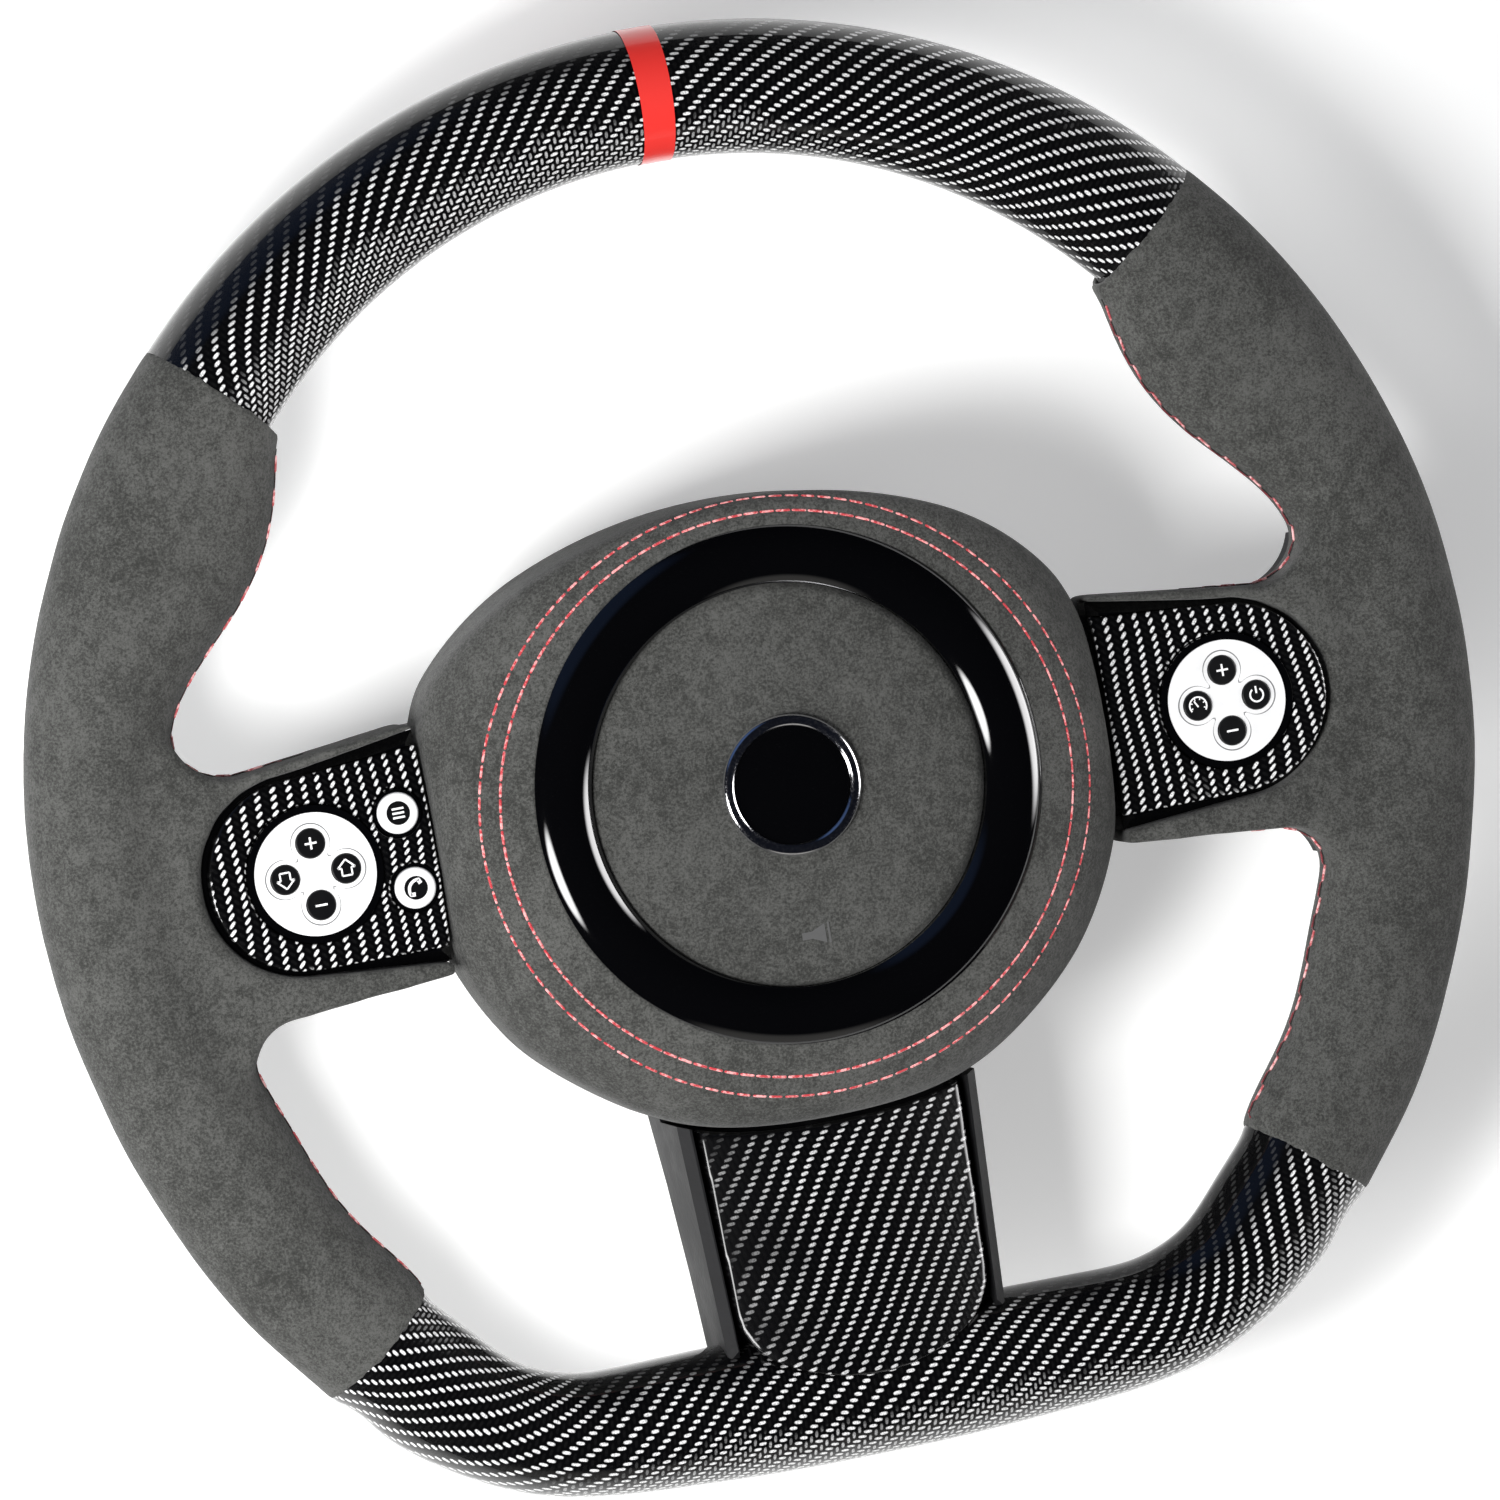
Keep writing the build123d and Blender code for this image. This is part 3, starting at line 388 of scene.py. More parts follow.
def carbon(name, row_angle, glare_level=0.85, crossed=0.6, shade_from=0.22, steep=0.0):
    """Lacquered twill cloth: each tow passes over two and under two.

    The UV is in millimetres and the rows of floats run at row_angle to its
    first axis.  The glare of the fibres is painted into the colour: warp floats
    carry a painted highlight nearly everywhere; weft floats lie across them and
    carry a painted highlight only on slopes that face one way, where rows turn
    to zigzags.  Painted shade darkens the fibres on slopes that face away, beyond
    the slope given as the fifth argument, and where the surface is steeper than
    steep.
    """
    tow = 1.36
    # slopes that face this way get painted shade on the fibres
    shaded_way = (cos(radians(135)), sin(radians(135)), 0.0)
    weft_glare_way = (cos(radians(-32)), sin(radians(-32)), 0.0)
    s = Shader(name)
    uv = s.add("ShaderNodeUVMap", {"uv_map": "weave"}).outputs[0]
    normal = s.add("ShaderNodeNewGeometry").outputs["Normal"]

    def cloud(scale, detail):
        node = s.add("ShaderNodeTexNoise", {"noise_dimensions": "2D"}, Scale=scale, Detail=detail)
        s.feed(node.inputs["Vector"], uv)
        return node

    def slope(direction):
        node = s.add("ShaderNodeVectorMath", {"operation": "DOT_PRODUCT"})
        s.feed(node.inputs[0], normal)
        s.feed(node.inputs[1], direction)
        return node.outputs["Value"]

    pull = s.add("ShaderNodeVectorMath", {"operation": "SUBTRACT"})
    s.feed(pull.inputs[0], cloud(0.018, 1.0).outputs["Color"])
    s.feed(pull.inputs[1], (0.5, 0.5, 0.5))
    drawn = s.add("ShaderNodeVectorMath", {"operation": "MULTIPLY_ADD"})
    for socket, value in zip(drawn.inputs, (pull.outputs[0], (7.0, 7.0, 0.0), uv)):
        s.feed(socket, value)
    cloth = s.add("ShaderNodeMapping", {"vector_type": "TEXTURE"}, Vector=drawn.outputs[0],
                  Rotation=(0.0, 0.0, row_angle + pi / 4), Scale=(tow, tow, 1.0))
    parts = s.add("ShaderNodeSeparateXYZ", Vector=cloth.outputs[0])
    u, v = parts.outputs[0], parts.outputs[1]

    def bell(t):
        return s.math("MAXIMUM", s.math("MULTIPLY", s.math("MULTIPLY", t, 4.0),
                                        s.math("SUBTRACT", 1.0, t)), 0.0)

    def floats(across, along, start):
        """Crown of the floats that run along one axis."""
        phase = s.math("FLOORED_MODULO", s.math("ADD", s.math("FLOOR", across), along), 4.0)
        lengthwise = bell(s.math("DIVIDE", s.math("SUBTRACT", phase, start), 2.0))
        return s.math("MULTIPLY", lengthwise, s.math("POWER", bell(s.math("FRACT", across)), 1.5))

    warp = floats(u, v, 0.0)
    weft = floats(v, u, 2.0)
    drift = s.math("MULTIPLY", s.math("SUBTRACT", cloud(0.05, 2.0).outputs["Fac"], 0.5), 0.5)
    # painted highlight: weft floats lit only on slopes that face one way
    weft_glare = s.ramp(s.math("ADD", slope(weft_glare_way), drift), 0.14, 0.42, 0.004, crossed)
    # painted shade: fibres darkened on slopes that face away
    painted_shade = s.ramp(s.math("ADD", slope(shaded_way), drift), shade_from, shade_from + 0.4, 1.0, 0.03)
    fibres = s.ramp(cloud(2.2, 3.0).outputs["Fac"], 0.30, 0.62, 0.45, 1.0)
    # painted highlight: the bright floats stand in for the glare of the fibres
    glare_mask = s.math("MAXIMUM", s.ramp(warp, 0.32, 0.72),
                    s.math("MULTIPLY", s.ramp(weft, 0.40, 0.80), weft_glare))
    # painted shade: fibres darkened where the surface is steep
    level = s.ramp(slope((0.0, 0.0, 1.0)), steep, steep + 0.4, 0.3, 1.0)
    glare_mask = s.math("MULTIPLY", s.math("MULTIPLY", glare_mask, fibres), s.math("MULTIPLY", painted_shade, level))
    s.bump(s.math("MAXIMUM", warp, weft), 0.05 * MM, 0.5)
    return s.set(Base_Color=s.mix(glare_mask, [0.001, 0.001, 0.0012], [glare_level, glare_level, glare_level]), Metallic=0.1,
                 Roughness=0.5, Specular_IOR_Level=0.1,
                 Coat_Weight=1.0, Coat_Roughness=0.02, Coat_IOR=1.5)


def lacquer(name, colour, roughness=0.06):
    """Glossy moulded or lacquered plastic with faint orange peel and dust."""
    s = Shader(name)
    peel = s.noise(420, 2, 0.5)
    dust = s.ramp(s.noise(2600, 3, 0.7), 0.63, 0.78)
    s.bump(peel, 0.012 * MM, 0.35)
    lighter = [min(1.0, c + 0.006) for c in colour]
    return s.set(Base_Color=s.mix(dust, colour, lighter),
                 Roughness=s.ramp(dust, 0, 1, roughness, roughness + 0.14),
                 Coat_Weight=0.6, Coat_Roughness=0.04)


def grained_plastic(name, colour, roughness=0.55):
    """Moulded plastic with a fine leather-like grain and rubbed patches."""
    s = Shader(name)
    s.set(Specular_IOR_Level=0.3)
    cells = s.add("ShaderNodeTexVoronoi", {"feature": "SMOOTH_F1"}, Scale=900.0)
    s.tree.links.new(s.place(), cells.inputs["Vector"])
    rubbed = s.noise(45, 3, 0.6)
    s.bump(cells.outputs["Distance"], 0.09 * MM, 0.8)
    lighter = [c * 1.5 + 0.006 for c in colour]
    return s.set(Base_Color=s.mix(s.ramp(rubbed, 0.4, 0.7), colour, lighter),
                 Roughness=s.ramp(rubbed, 0.3, 0.7, roughness, roughness + 0.16))


def satin_plastic(name, colour, roughness=0.38):
    """Smooth keys and discs, faintly handled."""
    s = Shader(name)
    smear = s.noise(260, 3, 0.6)
    fine = s.noise(4200, 2, 0.6)
    s.bump(fine, 0.012 * MM, 0.5)
    dull = [c * 0.93 for c in colour]
    return s.set(Base_Color=s.mix(s.ramp(smear, 0.35, 0.7), colour, dull),
                 Roughness=s.ramp(smear, 0.3, 0.7, roughness, roughness + 0.12))


def metal(name, colour, roughness, brushing=(1.0, 1.0, 1.0), relief=0.02):
    """Bare or plated metal with fine working marks."""
    s = Shader(name)
    marks = s.noise(1400, 3, 0.65, s.place(brushing))
    stain = s.noise(60, 3, 0.6)
    s.bump(marks, relief * MM, 0.5)
    darker = [c * 0.72 for c in colour]
    return s.set(Base_Color=s.mix(s.ramp(stain, 0.4, 0.75), colour, darker), Metallic=1.0,
                 Roughness=s.ramp(marks, 0.3, 0.7, roughness, roughness + 0.15))


def thread(name, red, highlight_red):
    """Twisted polyester thread: red with pale patches at random as painted highlight."""
    s = Shader(name)
    twist = s.add("ShaderNodeTexWave", {"bands_direction": "DIAGONAL"}, Scale=900.0, Distortion=1.5)
    s.tree.links.new(s.place(), twist.inputs["Vector"])
    # pale patches: painted highlight on the thread
    pale = s.noise(700, 2, 0.6)
    s.bump(twist.outputs["Fac"], 0.08 * MM, 0.9)
    return s.set(Base_Color=s.mix(s.ramp(pale, 0.42, 0.62), red, highlight_red),
                 Roughness=0.62, Sheen_Weight=0.3)


SUEDE = suede("suede")
SUEDE_CAP = suede("suede_cap", 0.92)
# dark copy of the suede: painted shade along the seam fold
SUEDE_FOLD_SHADE = suede("suede_fold_shade", 0.35)
THREAD = thread("red_thread", [0.48, 0.035, 0.045], [0.90, 0.36, 0.36])
# lip thread: a paler copy of the red, painted highlight; sunk thread: a dark copy, painted shade
LIT_LIP_THREAD = thread("lip_thread_lit", [0.45, 0.07, 0.08], [0.85, 0.46, 0.46])
SHADED_SUNK_THREAD = thread("sunk_thread_shaded", [0.10, 0.006, 0.010], [0.20, 0.02, 0.028])
CARBON_RIM = carbon("carbon_rim", radians(43))
CARBON_COVER = carbon("carbon_cover", radians(57), 0.65, 0.02, 0.0, 0.5)
CARBON_TRIM = carbon("carbon_trim", radians(92), 0.95, 0.9, steep=0.4)
RED = lacquer("red_band", [0.68, 0.034, 0.028], 0.3)
BLACK_GLOSS = lacquer("black_gloss", [0.001, 0.001, 0.0012])
BLACK_GRAIN = grained_plastic("black_grain", [0.012, 0.012, 0.013])
WHITE_SATIN = satin_plastic("white_satin", [0.80, 0.80, 0.80])
# grey for the painted shade in the groove round the keys
GROOVE_SHADE_GREY = satin_plastic("groove_shade_grey", [0.16, 0.16, 0.165], 0.5)
SHELL_BLACK = grained_plastic("shell_black", [0.004, 0.004, 0.0045], 0.5)
MARK_GREY = satin_plastic("mark_grey", [0.085, 0.085, 0.085], 0.5)
KEY_BLACK = satin_plastic("key_black", [0.003, 0.003, 0.0035], 0.42)
SYMBOL_WHITE = satin_plastic("symbol_white", [0.9, 0.9, 0.9], 0.5)
CHROME = metal("chrome", [0.88, 0.88, 0.9], 0.07, relief=0.004)
CASTING = metal("casting", [0.45, 0.45, 0.46], 0.5, relief=0.12)
ZINC = metal("zinc", [0.55, 0.56, 0.58], 0.32, (1.0, 0.2, 1.0), 0.03)
BRASS = metal("brass", [0.75, 0.55, 0.22], 0.25)
FOAM = grained_plastic("foam", [0.03, 0.03, 0.03], 0.8)
CIRCUIT = satin_plastic("circuit", [0.02, 0.16, 0.06], 0.35)
SILICONE = satin_plastic("silicone", [0.55, 0.55, 0.52], 0.6)
BAG = suede("bag_cloth", 6.0)

SLOT_MATERIAL = {
    "carbon": CARBON_TRIM,
    "suede": SUEDE,
    "red_band": RED,
    "gloss_black": BLACK_GLOSS,
    "matte_black": BLACK_GRAIN,
    "switch_white": WHITE_SATIN,
    "key_black": KEY_BLACK,
    "bright_chrome": CHROME,
    "casting": CASTING,
    "steel": ZINC,
    "foam": FOAM,
    "circuit": CIRCUIT,
    "silicone": SILICONE,
    "bag": BAG,
    "contact_brass": BRASS,
}


def paint_cad_nodes():
    """Procedural materials on every solid that keeps its own shape."""
    for entry in frame["record"]["subparts"]:
        mesh = nodes[entry["node"]].data
        mesh.materials.clear()
        mesh.materials.append(SLOT_MATERIAL[entry["material_slot"]])
        mesh.shade_smooth()
    nodes["bottom_spoke_shell"].data.materials[0] = SHELL_BLACK


# ------------------------------------------------------------------ suede grips
GRIP_VOXEL = 1.1 * MM
GRIP_ROUNDS = 34


def make_grip(side):
    """Grip and spoke padding of one side as one soft skin.

    The spoke keeps its edges, and the grip and the places where the two
    meet are smoothed most.
    """
    sign = 1 if side == "right" else -1
    names = [f"{side}_grip_cover", f"{side}_spoke_wrap"]
    skin = remeshed(f"{side}_grip_skin", names, GRIP_VOXEL)
    co = coordinates(skin)
    x = sign * co[:, 0]
    grip = smooth_step(x, 124 * MM, 134 * MM)
    meeting = smooth_step(x, 126 * MM, 140 * MM) * smooth_step(-x, -172 * MM, -158 * MM)
    meeting *= smooth_step(-np.abs(co[:, 1] + 4 * MM), -62 * MM, -48 * MM)
    weight = 0.22 + 0.30 * grip + 0.48 * meeting
    relaxed(skin, GRIP_ROUNDS, np.clip(weight, 0, 1))
    soften(skin, sign)
    dress(skin, SUEDE, WHEEL, names)
    return skin


SWELL = 0.22 * MM                   # unevenness of the padding
DRAG = 0.09 * MM                    # fine creases where grip and spoke meet
DRAG_PLACE = (136 * MM, 12 * MM)
DRAG_REACH = 16 * MM


def soften(skin, sign):
    """Faint hollows and drag lines that hands leave in the padding."""
    co = coordinates(skin)
    for v, place in zip(skin.data.vertices, co):
        x, y = sign * place[0], place[1]
        swell = noise.noise(Vector((x, y, place[2])) * 55) * SWELL
        away = hypot(x - DRAG_PLACE[0], y - DRAG_PLACE[1]) / DRAG_REACH
        bend = 2.2 * noise.noise(Vector(place) * 40)
        drag = sin(x / MM * 0.9 + bend) * DRAG * np.exp(-away ** 2)
        co[v.index] = place + np.array(v.normal) * (swell - SWELL + drag)
    set_coordinates(skin, co)


def capsule(start, end, radius, sides=6):
    """Vertices and faces of a small rounded stitch between two points."""
    axis = (end - start).normalized()
    side = axis.orthogonal().normalized()
    other = axis.cross(side)
    rings = ((-0.9, 0.35), (-0.45, 0.85), (0.25, 1.0))
    length = (end - start).length
    stations = [(radius * t, radius * r) for t, r in rings]
    stations += [(length - radius * t, radius * r) for t, r in reversed(rings)]
    vertices = []
    for distance, r in stations:
        for k in range(sides):
            turn = 2 * pi * k / sides
            vertices.append(start + axis * distance + (side * cos(turn) + other * sin(turn)) * r)
    faces = []
    for ring in range(len(stations) - 1):
        for k in range(sides):
            n = (k + 1) % sides
            faces.append((ring * sides + k, ring * sides + n,
                          (ring + 1) * sides + n, (ring + 1) * sides + k))
    faces.append(tuple(range(sides))[::-1])
    faces.append(tuple(range((len(stations) - 1) * sides, len(stations) * sides)))
    return vertices, faces


def stitches(name, strands, radius):
    """Many stitches as one piece; each strand is a pair of points."""
    vertices = []
    faces = []
    for start, end in strands:
        more, quads = capsule(start, end, radius)
        first = len(vertices)
        vertices.extend(more)
        faces.extend(tuple(first + i for i in quad) for quad in quads)
    return new_object(name, vertices, faces)


# The seam follows the edge of both openings beside a grip, round the crotch and
# a little way along the spoke.  Each run has a point in the opening and the
# first and last direction, in degrees, in which the edge is looked for.
SEAM_RUNS = (
    ((112 * MM, 50 * MM), 96.0, -88.0),
    ((104 * MM, -70 * MM), 68.0, -84.0),
)
SEAM_RISE = 1.7 * MM                # the seam lies a little in front of the middle plane
SEAM_PITCH = 8.3 * MM
SEAM_LIP = 0.7 * MM                 # from the fold to either lip
LIP_STITCH_END = 3.3 * MM
FIRST_CROSSING_END = 4.4 * MM
SUNK_STITCH_END = 7.4 * MM
SEAM_MARGIN = 3.0 * MM
FOLD_STEP = 1.5 * MM


def opening_edge(skin_tree, sign, start, from_angle, to_angle):
    """Edge of a grip seen from a point in an opening: lengths, points and facing."""
    count = 420
    eye = Vector((sign * start[0], start[1], RIM_Z + SEAM_RISE))
    points = []
    for k in range(count + 1):
        turn = radians(from_angle + (to_angle - from_angle) * k / count)
        hit = skin_tree.ray_cast(eye, Vector((sign * cos(turn), sin(turn), 0)), 90 * MM)
        if hit[0] is not None:
            points.append(hit[0])
    points = np.array(points)
    for _ in range(6):
        points[1:-1] = (points[:-2] + 2 * points[1:-1] + points[2:]) / 4
    step = np.linalg.norm(np.diff(points, axis=0), axis=1)
    lengths = np.concatenate(([0], np.cumsum(step)))
    along = np.gradient(points, axis=0)
    along /= np.linalg.norm(along, axis=1)[:, None]
    facing = np.stack([-along[:, 1], along[:, 0], 0 * along[:, 0]], 1)
    toward_eye = np.sign(((np.array(eye) - points) * facing).sum(1))
    return lengths, points, facing * toward_eye[:, None]


def on_skin(skin_tree, edge, length, rise, lift):
    """Point on the skin at a length along an edge, or None."""
    lengths, points, facing = edge
    place = Vector([np.interp(length, lengths, points[:, axis]) for axis in range(3)])
    out = Vector([np.interp(length, lengths, facing[:, axis]) for axis in range(3)]).normalized()
    hit = skin_tree.ray_cast(place + out * 6 * MM + Vector((0, 0, rise)), -out, 16 * MM)
    return None if hit[0] is None else hit[0] + hit[1] * lift


def make_grip_seam(side, skin):
    """Laced seam: stitches on the front lip in a paler red as painted highlight, sunk ones across and
    behind it in a dark red as painted shade.
    """
    sign = 1 if side == "right" else -1
    tree = mesh_tree(skin)
    lip = SEAM_LIP
    front = []
    sunk = []
    fold = []
    for start, first, last in SEAM_RUNS:
        edge = opening_edge(tree, sign, start, first, last)
        total = edge[0][-1]

        def sew(strands, begin, end, lift):
            ends = [on_skin(tree, edge, *begin, lift), on_skin(tree, edge, *end, lift)]
            if None not in ends:
                strands.append(ends)

        length = SEAM_MARGIN
        while length < total - SEAM_PITCH:
            jitter = RNG.uniform(-0.25, 0.25) * MM
            lip_end = length + LIP_STITCH_END
            crossing_end = length + FIRST_CROSSING_END
            sunk_end = length + SUNK_STITCH_END
            sew(front, (length + jitter, lip * 1.5), (lip_end, lip * 0.9), 0.2 * MM)
            sew(sunk, (lip_end, lip * 0.9), (crossing_end, -lip), 0.05 * MM)
            sew(sunk, (crossing_end + jitter, -lip), (sunk_end, -lip * 1.1), 0.1 * MM)
            sew(sunk, (sunk_end, -lip), (length + SEAM_PITCH, lip * 1.5), 0.05 * MM)
            length += SEAM_PITCH
        # a dark suede line along the fold: painted shade of the seam groove
        for k in range(int((total - 2 * MM) / FOLD_STEP)):
            fold_start = 1 * MM + k * FOLD_STEP
            sew(fold, (fold_start, 0.0), (fold_start + 1.15 * FOLD_STEP, 0.0), -0.05 * MM)
    # the paler lip thread is painted highlight; the dark sunk thread is painted shade
    threads = (
        ("lip_stitches", front, 0.36 * MM, LIT_LIP_THREAD),
        ("sunk_stitches", sunk, 0.30 * MM, SHADED_SUNK_THREAD),
        ("fold", fold, 0.30 * MM, SUEDE_FOLD_SHADE),
    )
    for part, strands, radius, material in threads:
        dress(stitches(f"{side}_grip_{part}", strands, radius), material, WHEEL)


# ------------------------------------------------------------------ carbon shells
PANEL_SOFTNESS = 0.7        # share of each smoothing step that panels take
SHELL_LAP = 1.5 * MM        # carbon that runs on under the suede
BAND_RISE = 0.22 * MM


def make_rim_shells():
    """Upper and lower carbon tubes, and the red band painted round the top."""
    upper = ["top_carbon_front", "top_carbon_rear"]
    lower = ["bottom_carbon_front", "bottom_carbon_rear"]
    top = rim_tube("top_carbon", upper, -GRIP_START - SHELL_LAP, GRIP_START + SHELL_LAP)
    dress(top, CARBON_RIM, WHEEL, upper)
    low = rim_tube("bottom_carbon", lower, GRIP_END - SHELL_LAP,
                   2 * HALF_LENGTH - GRIP_END + SHELL_LAP)
    dress(low, CARBON_RIM, WHEEL, lower)
    left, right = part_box("centre_marker")
    half = (right.x - left.x) / 2
    band = rim_tube("red_centre_band", upper, -half, half, BAND_RISE)
    dress(band, RED, WHEEL, ["centre_marker"])


def make_panel(node, name, material, voxel, rounds):
    """Carbon panel with softened edges, woven flat across its own x and y."""
    panel = remeshed(name, [node], voxel)
    relaxed(panel, rounds, np.full(len(panel.data.vertices), PANEL_SOFTNESS))
    set_weave(panel.data, coordinates(panel)[:, :2] / MM)
    return dress(panel, material, WHEEL, [node])


# ------------------------------------------------------------------ airbag cover
PAD_HEART = (46 * MM, 66 * MM)      # radius and height that every profile is seen from
PAD_REACH = 80 * MM
PAD_PROFILE = (64, -19, 110)        # first and last angle of a profile, and its points
PAD_ROUNDS = 60
LIP_SHARE = 0.965                   # the skin turns under to this share of its outline
LIP_HEIGHT = 12 * MM
STITCH_DIP = 0.30 * MM


def make_pad_skin():
    """Suede over foam: a fine grid dropped on the cover, with rounded edges."""
    tree = cad_tree(["pad_cover"])
    floor_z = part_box("pad_cover")[0].z
    ring_low, ring_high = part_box("pad_ring")
    ring_r = (ring_high.x - ring_low.x) / 2
    columns = 720
    rises = np.radians(np.linspace(*PAD_PROFILE))
    points = np.zeros((len(rises), columns, 3))
    for c in range(columns):
        turn = 2 * pi * c / columns
        out = Vector((cos(turn), sin(turn), 0))
        heart = out * PAD_HEART[0] + Vector((0, 0, PAD_HEART[1]))
        for r, rise in enumerate(rises):
            direction = out * cos(rise) + Vector((0, 0, sin(rise)))
            hit = tree.ray_cast(heart + direction * PAD_REACH, -direction, PAD_REACH)
            points[r, c] = hit[0] if hit[0] is not None else points[r - 1, c]
    # round the edges by averaging along each profile and a little round the wheel
    radius = np.hypot(points[:, :, 0], points[:, :, 1])
    hold = smooth_step(radius, ring_r + 0.5 * MM, ring_r + 4 * MM)[:, :, None]
    for _ in range(PAD_ROUNDS):
        mean = points.copy()
        mean[1:-1] = (points[:-2] + points[2:]) / 2
        sideways = (np.roll(points, 1, 1) + np.roll(points, -1, 1)) / 2
        points += ((mean - points) * 0.5 + (sideways - points) * 0.25) * hold
    radius = np.hypot(points[:, :, 0], points[:, :, 1])
    points[:, :, 2] -= STITCH_DIP * stitch_valley(points)
    bottom = points[-1].copy()
    bottom[:, 2] = floor_z
    lip = bottom.copy()
    lip[:, :2] *= LIP_SHARE
    inner = lip.copy()
    inner[:, 2] += LIP_HEIGHT
    seat = points[0].copy()
    seat[:, :2] *= ((ring_r - 1.5 * MM) / radius[0])[:, None]
    seat[:, 2] = ring_low.z + 0.5 * MM
    rows = [seat, *points, bottom, lip, inner]
    skin = new_object("airbag_cover_skin", np.concatenate(rows),
                      rows_to_faces(len(rows), columns, True))
    dress(skin, SUEDE, MODULE, ["pad_cover"])
    return skin


# Two stitched ovals, outer then inner: half axes, centre y, and the share of
# each pitch that the stitch covers.
STITCH_OVALS = {
    "outer": (77.4 * MM, 74.1 * MM, -3.0 * MM, 0.66),
    "inner": (72.5 * MM, 69.8 * MM, -2.3 * MM, 0.74),
}
PAD_STITCH_PITCH = 4.0 * MM
PAD_THREAD_R = 0.42 * MM
PAD_THREAD_LIFT = 0.16 * MM
VALLEY_HALF_WIDTH = 0.9 * MM


def stitch_valley(points):
    """How far each point lies in the dip that a row of stitches pulls, 0 to 1."""
    depth = np.zeros(points.shape[:2])
    for half_x, half_y, centre_y, _ in STITCH_OVALS.values():
        ratio = np.hypot(points[:, :, 0] / half_x, (points[:, :, 1] - centre_y) / half_y)
        distance = (ratio - 1) * (half_x + half_y) / 2
        depth = np.maximum(depth, np.exp(-(distance / VALLEY_HALF_WIDTH) ** 2))
    return depth


def make_pad_stitches(skin):
    """Two rows of stitches that follow the cover's surface."""
    tree = mesh_tree(skin)
    for name, (half_x, half_y, centre_y, share) in STITCH_OVALS.items():
        count = round(pi * (half_x + half_y) / PAD_STITCH_PITCH)
        strands = []
        for k in range(count):
            ends = []
            for t in (k, k + share):
                turn = 2 * pi * t / count
                top = Vector((half_x * cos(turn), centre_y + half_y * sin(turn), 120 * MM))
                hit = tree.ray_cast(top, Vector((0, 0, -1)), 100 * MM)
                ends.append(hit[0] + hit[1] * PAD_THREAD_LIFT)
            strands.append(ends)
        piece = stitches(f"pad_stitches_{name}", strands, PAD_THREAD_R)
        dress(piece, THREAD, MODULE)


def arc_points(start, middle, end, count):
    """Points on the circle through three (radius, height) points."""
    (ax, ay), (bx, by), (cx, cy) = start, middle, end
    d = 2 * (ax * (by - cy) + bx * (cy - ay) + cx * (ay - by))
    ux = ((ax ** 2 + ay ** 2) * (by - cy) + (bx ** 2 + by ** 2) * (cy - ay)
          + (cx ** 2 + cy ** 2) * (ay - by)) / d
    uy = ((ax ** 2 + ay ** 2) * (cx - bx) + (bx ** 2 + by ** 2) * (ax - cx)
          + (cx ** 2 + cy ** 2) * (bx - ax)) / d
    radius = hypot(ax - ux, ay - uy)
    first = atan2(ay - uy, ax - ux)
    last = atan2(cy - uy, cx - ux)
    return [(ux + radius * cos(first + (last - first) * t / count),
             uy + radius * sin(first + (last - first) * t / count)) for t in range(count + 1)]


RING_BORE_R = 49.9 * MM
RING_SHOULDERS = (3.3 * MM, 2.9 * MM)       # below the crest, outside and inside


def make_pad_ring():
    """Glossy ring with a full round top."""
    low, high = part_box("pad_ring")
    outside, inside = RING_SHOULDERS
    crest_r = (high.x + RING_BORE_R) / 2 + 0.6 * MM
    top = arc_points((high.x, high.z - outside), (crest_r, high.z),
                     (RING_BORE_R, high.z - inside), 40)
    ring = turned_piece("airbag_ring", [(high.x, low.z), *top, (RING_BORE_R, low.z)])
    ring.data.set_sharp_from_angle(angle=radians(35))
    return dress(ring, BLACK_GLOSS, MODULE, ["pad_ring"])


CAP_CROWN = 2.0 * MM                # fall from the middle of the cap to its edge
CAP_TUCK = 1.6 * MM
CAP_TUCK_START = 0.95               # share of the radius
CAP_RIPPLE = 0.10 * MM


def make_centre_cap():
    """Suede disc, tucked in at its edge and very slightly uneven."""
    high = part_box("pad_cap")[1]
    rows = 60
    columns = 256
    vertices = []
    for r in range(rows + 1):
        share = r / rows
        radius = high.x * share
        tuck = max(0.0, (share - CAP_TUCK_START) / (1 - CAP_TUCK_START))
        fall = CAP_CROWN * share ** 2 + CAP_TUCK * tuck ** 2
        for c in range(columns):
            turn = 2 * pi * c / columns
            ripple = CAP_RIPPLE * sin(3 * turn + 5 * share) * sin(pi * share) ** 2
            vertices.append((radius * cos(turn), radius * sin(turn), high.z - fall + ripple))
    cap = new_object("centre_cap_skin", vertices, rows_to_faces(rows + 1, columns, True))
    dress(cap, SUEDE_CAP, MODULE, ["pad_cap"])
    return cap


# ------------------------------------------------------------------ key symbols
PRINT_THICKNESS = 0.06 * MM
PRINT_SINK = 0.01 * MM      # a print starts this far inside the face that carries it


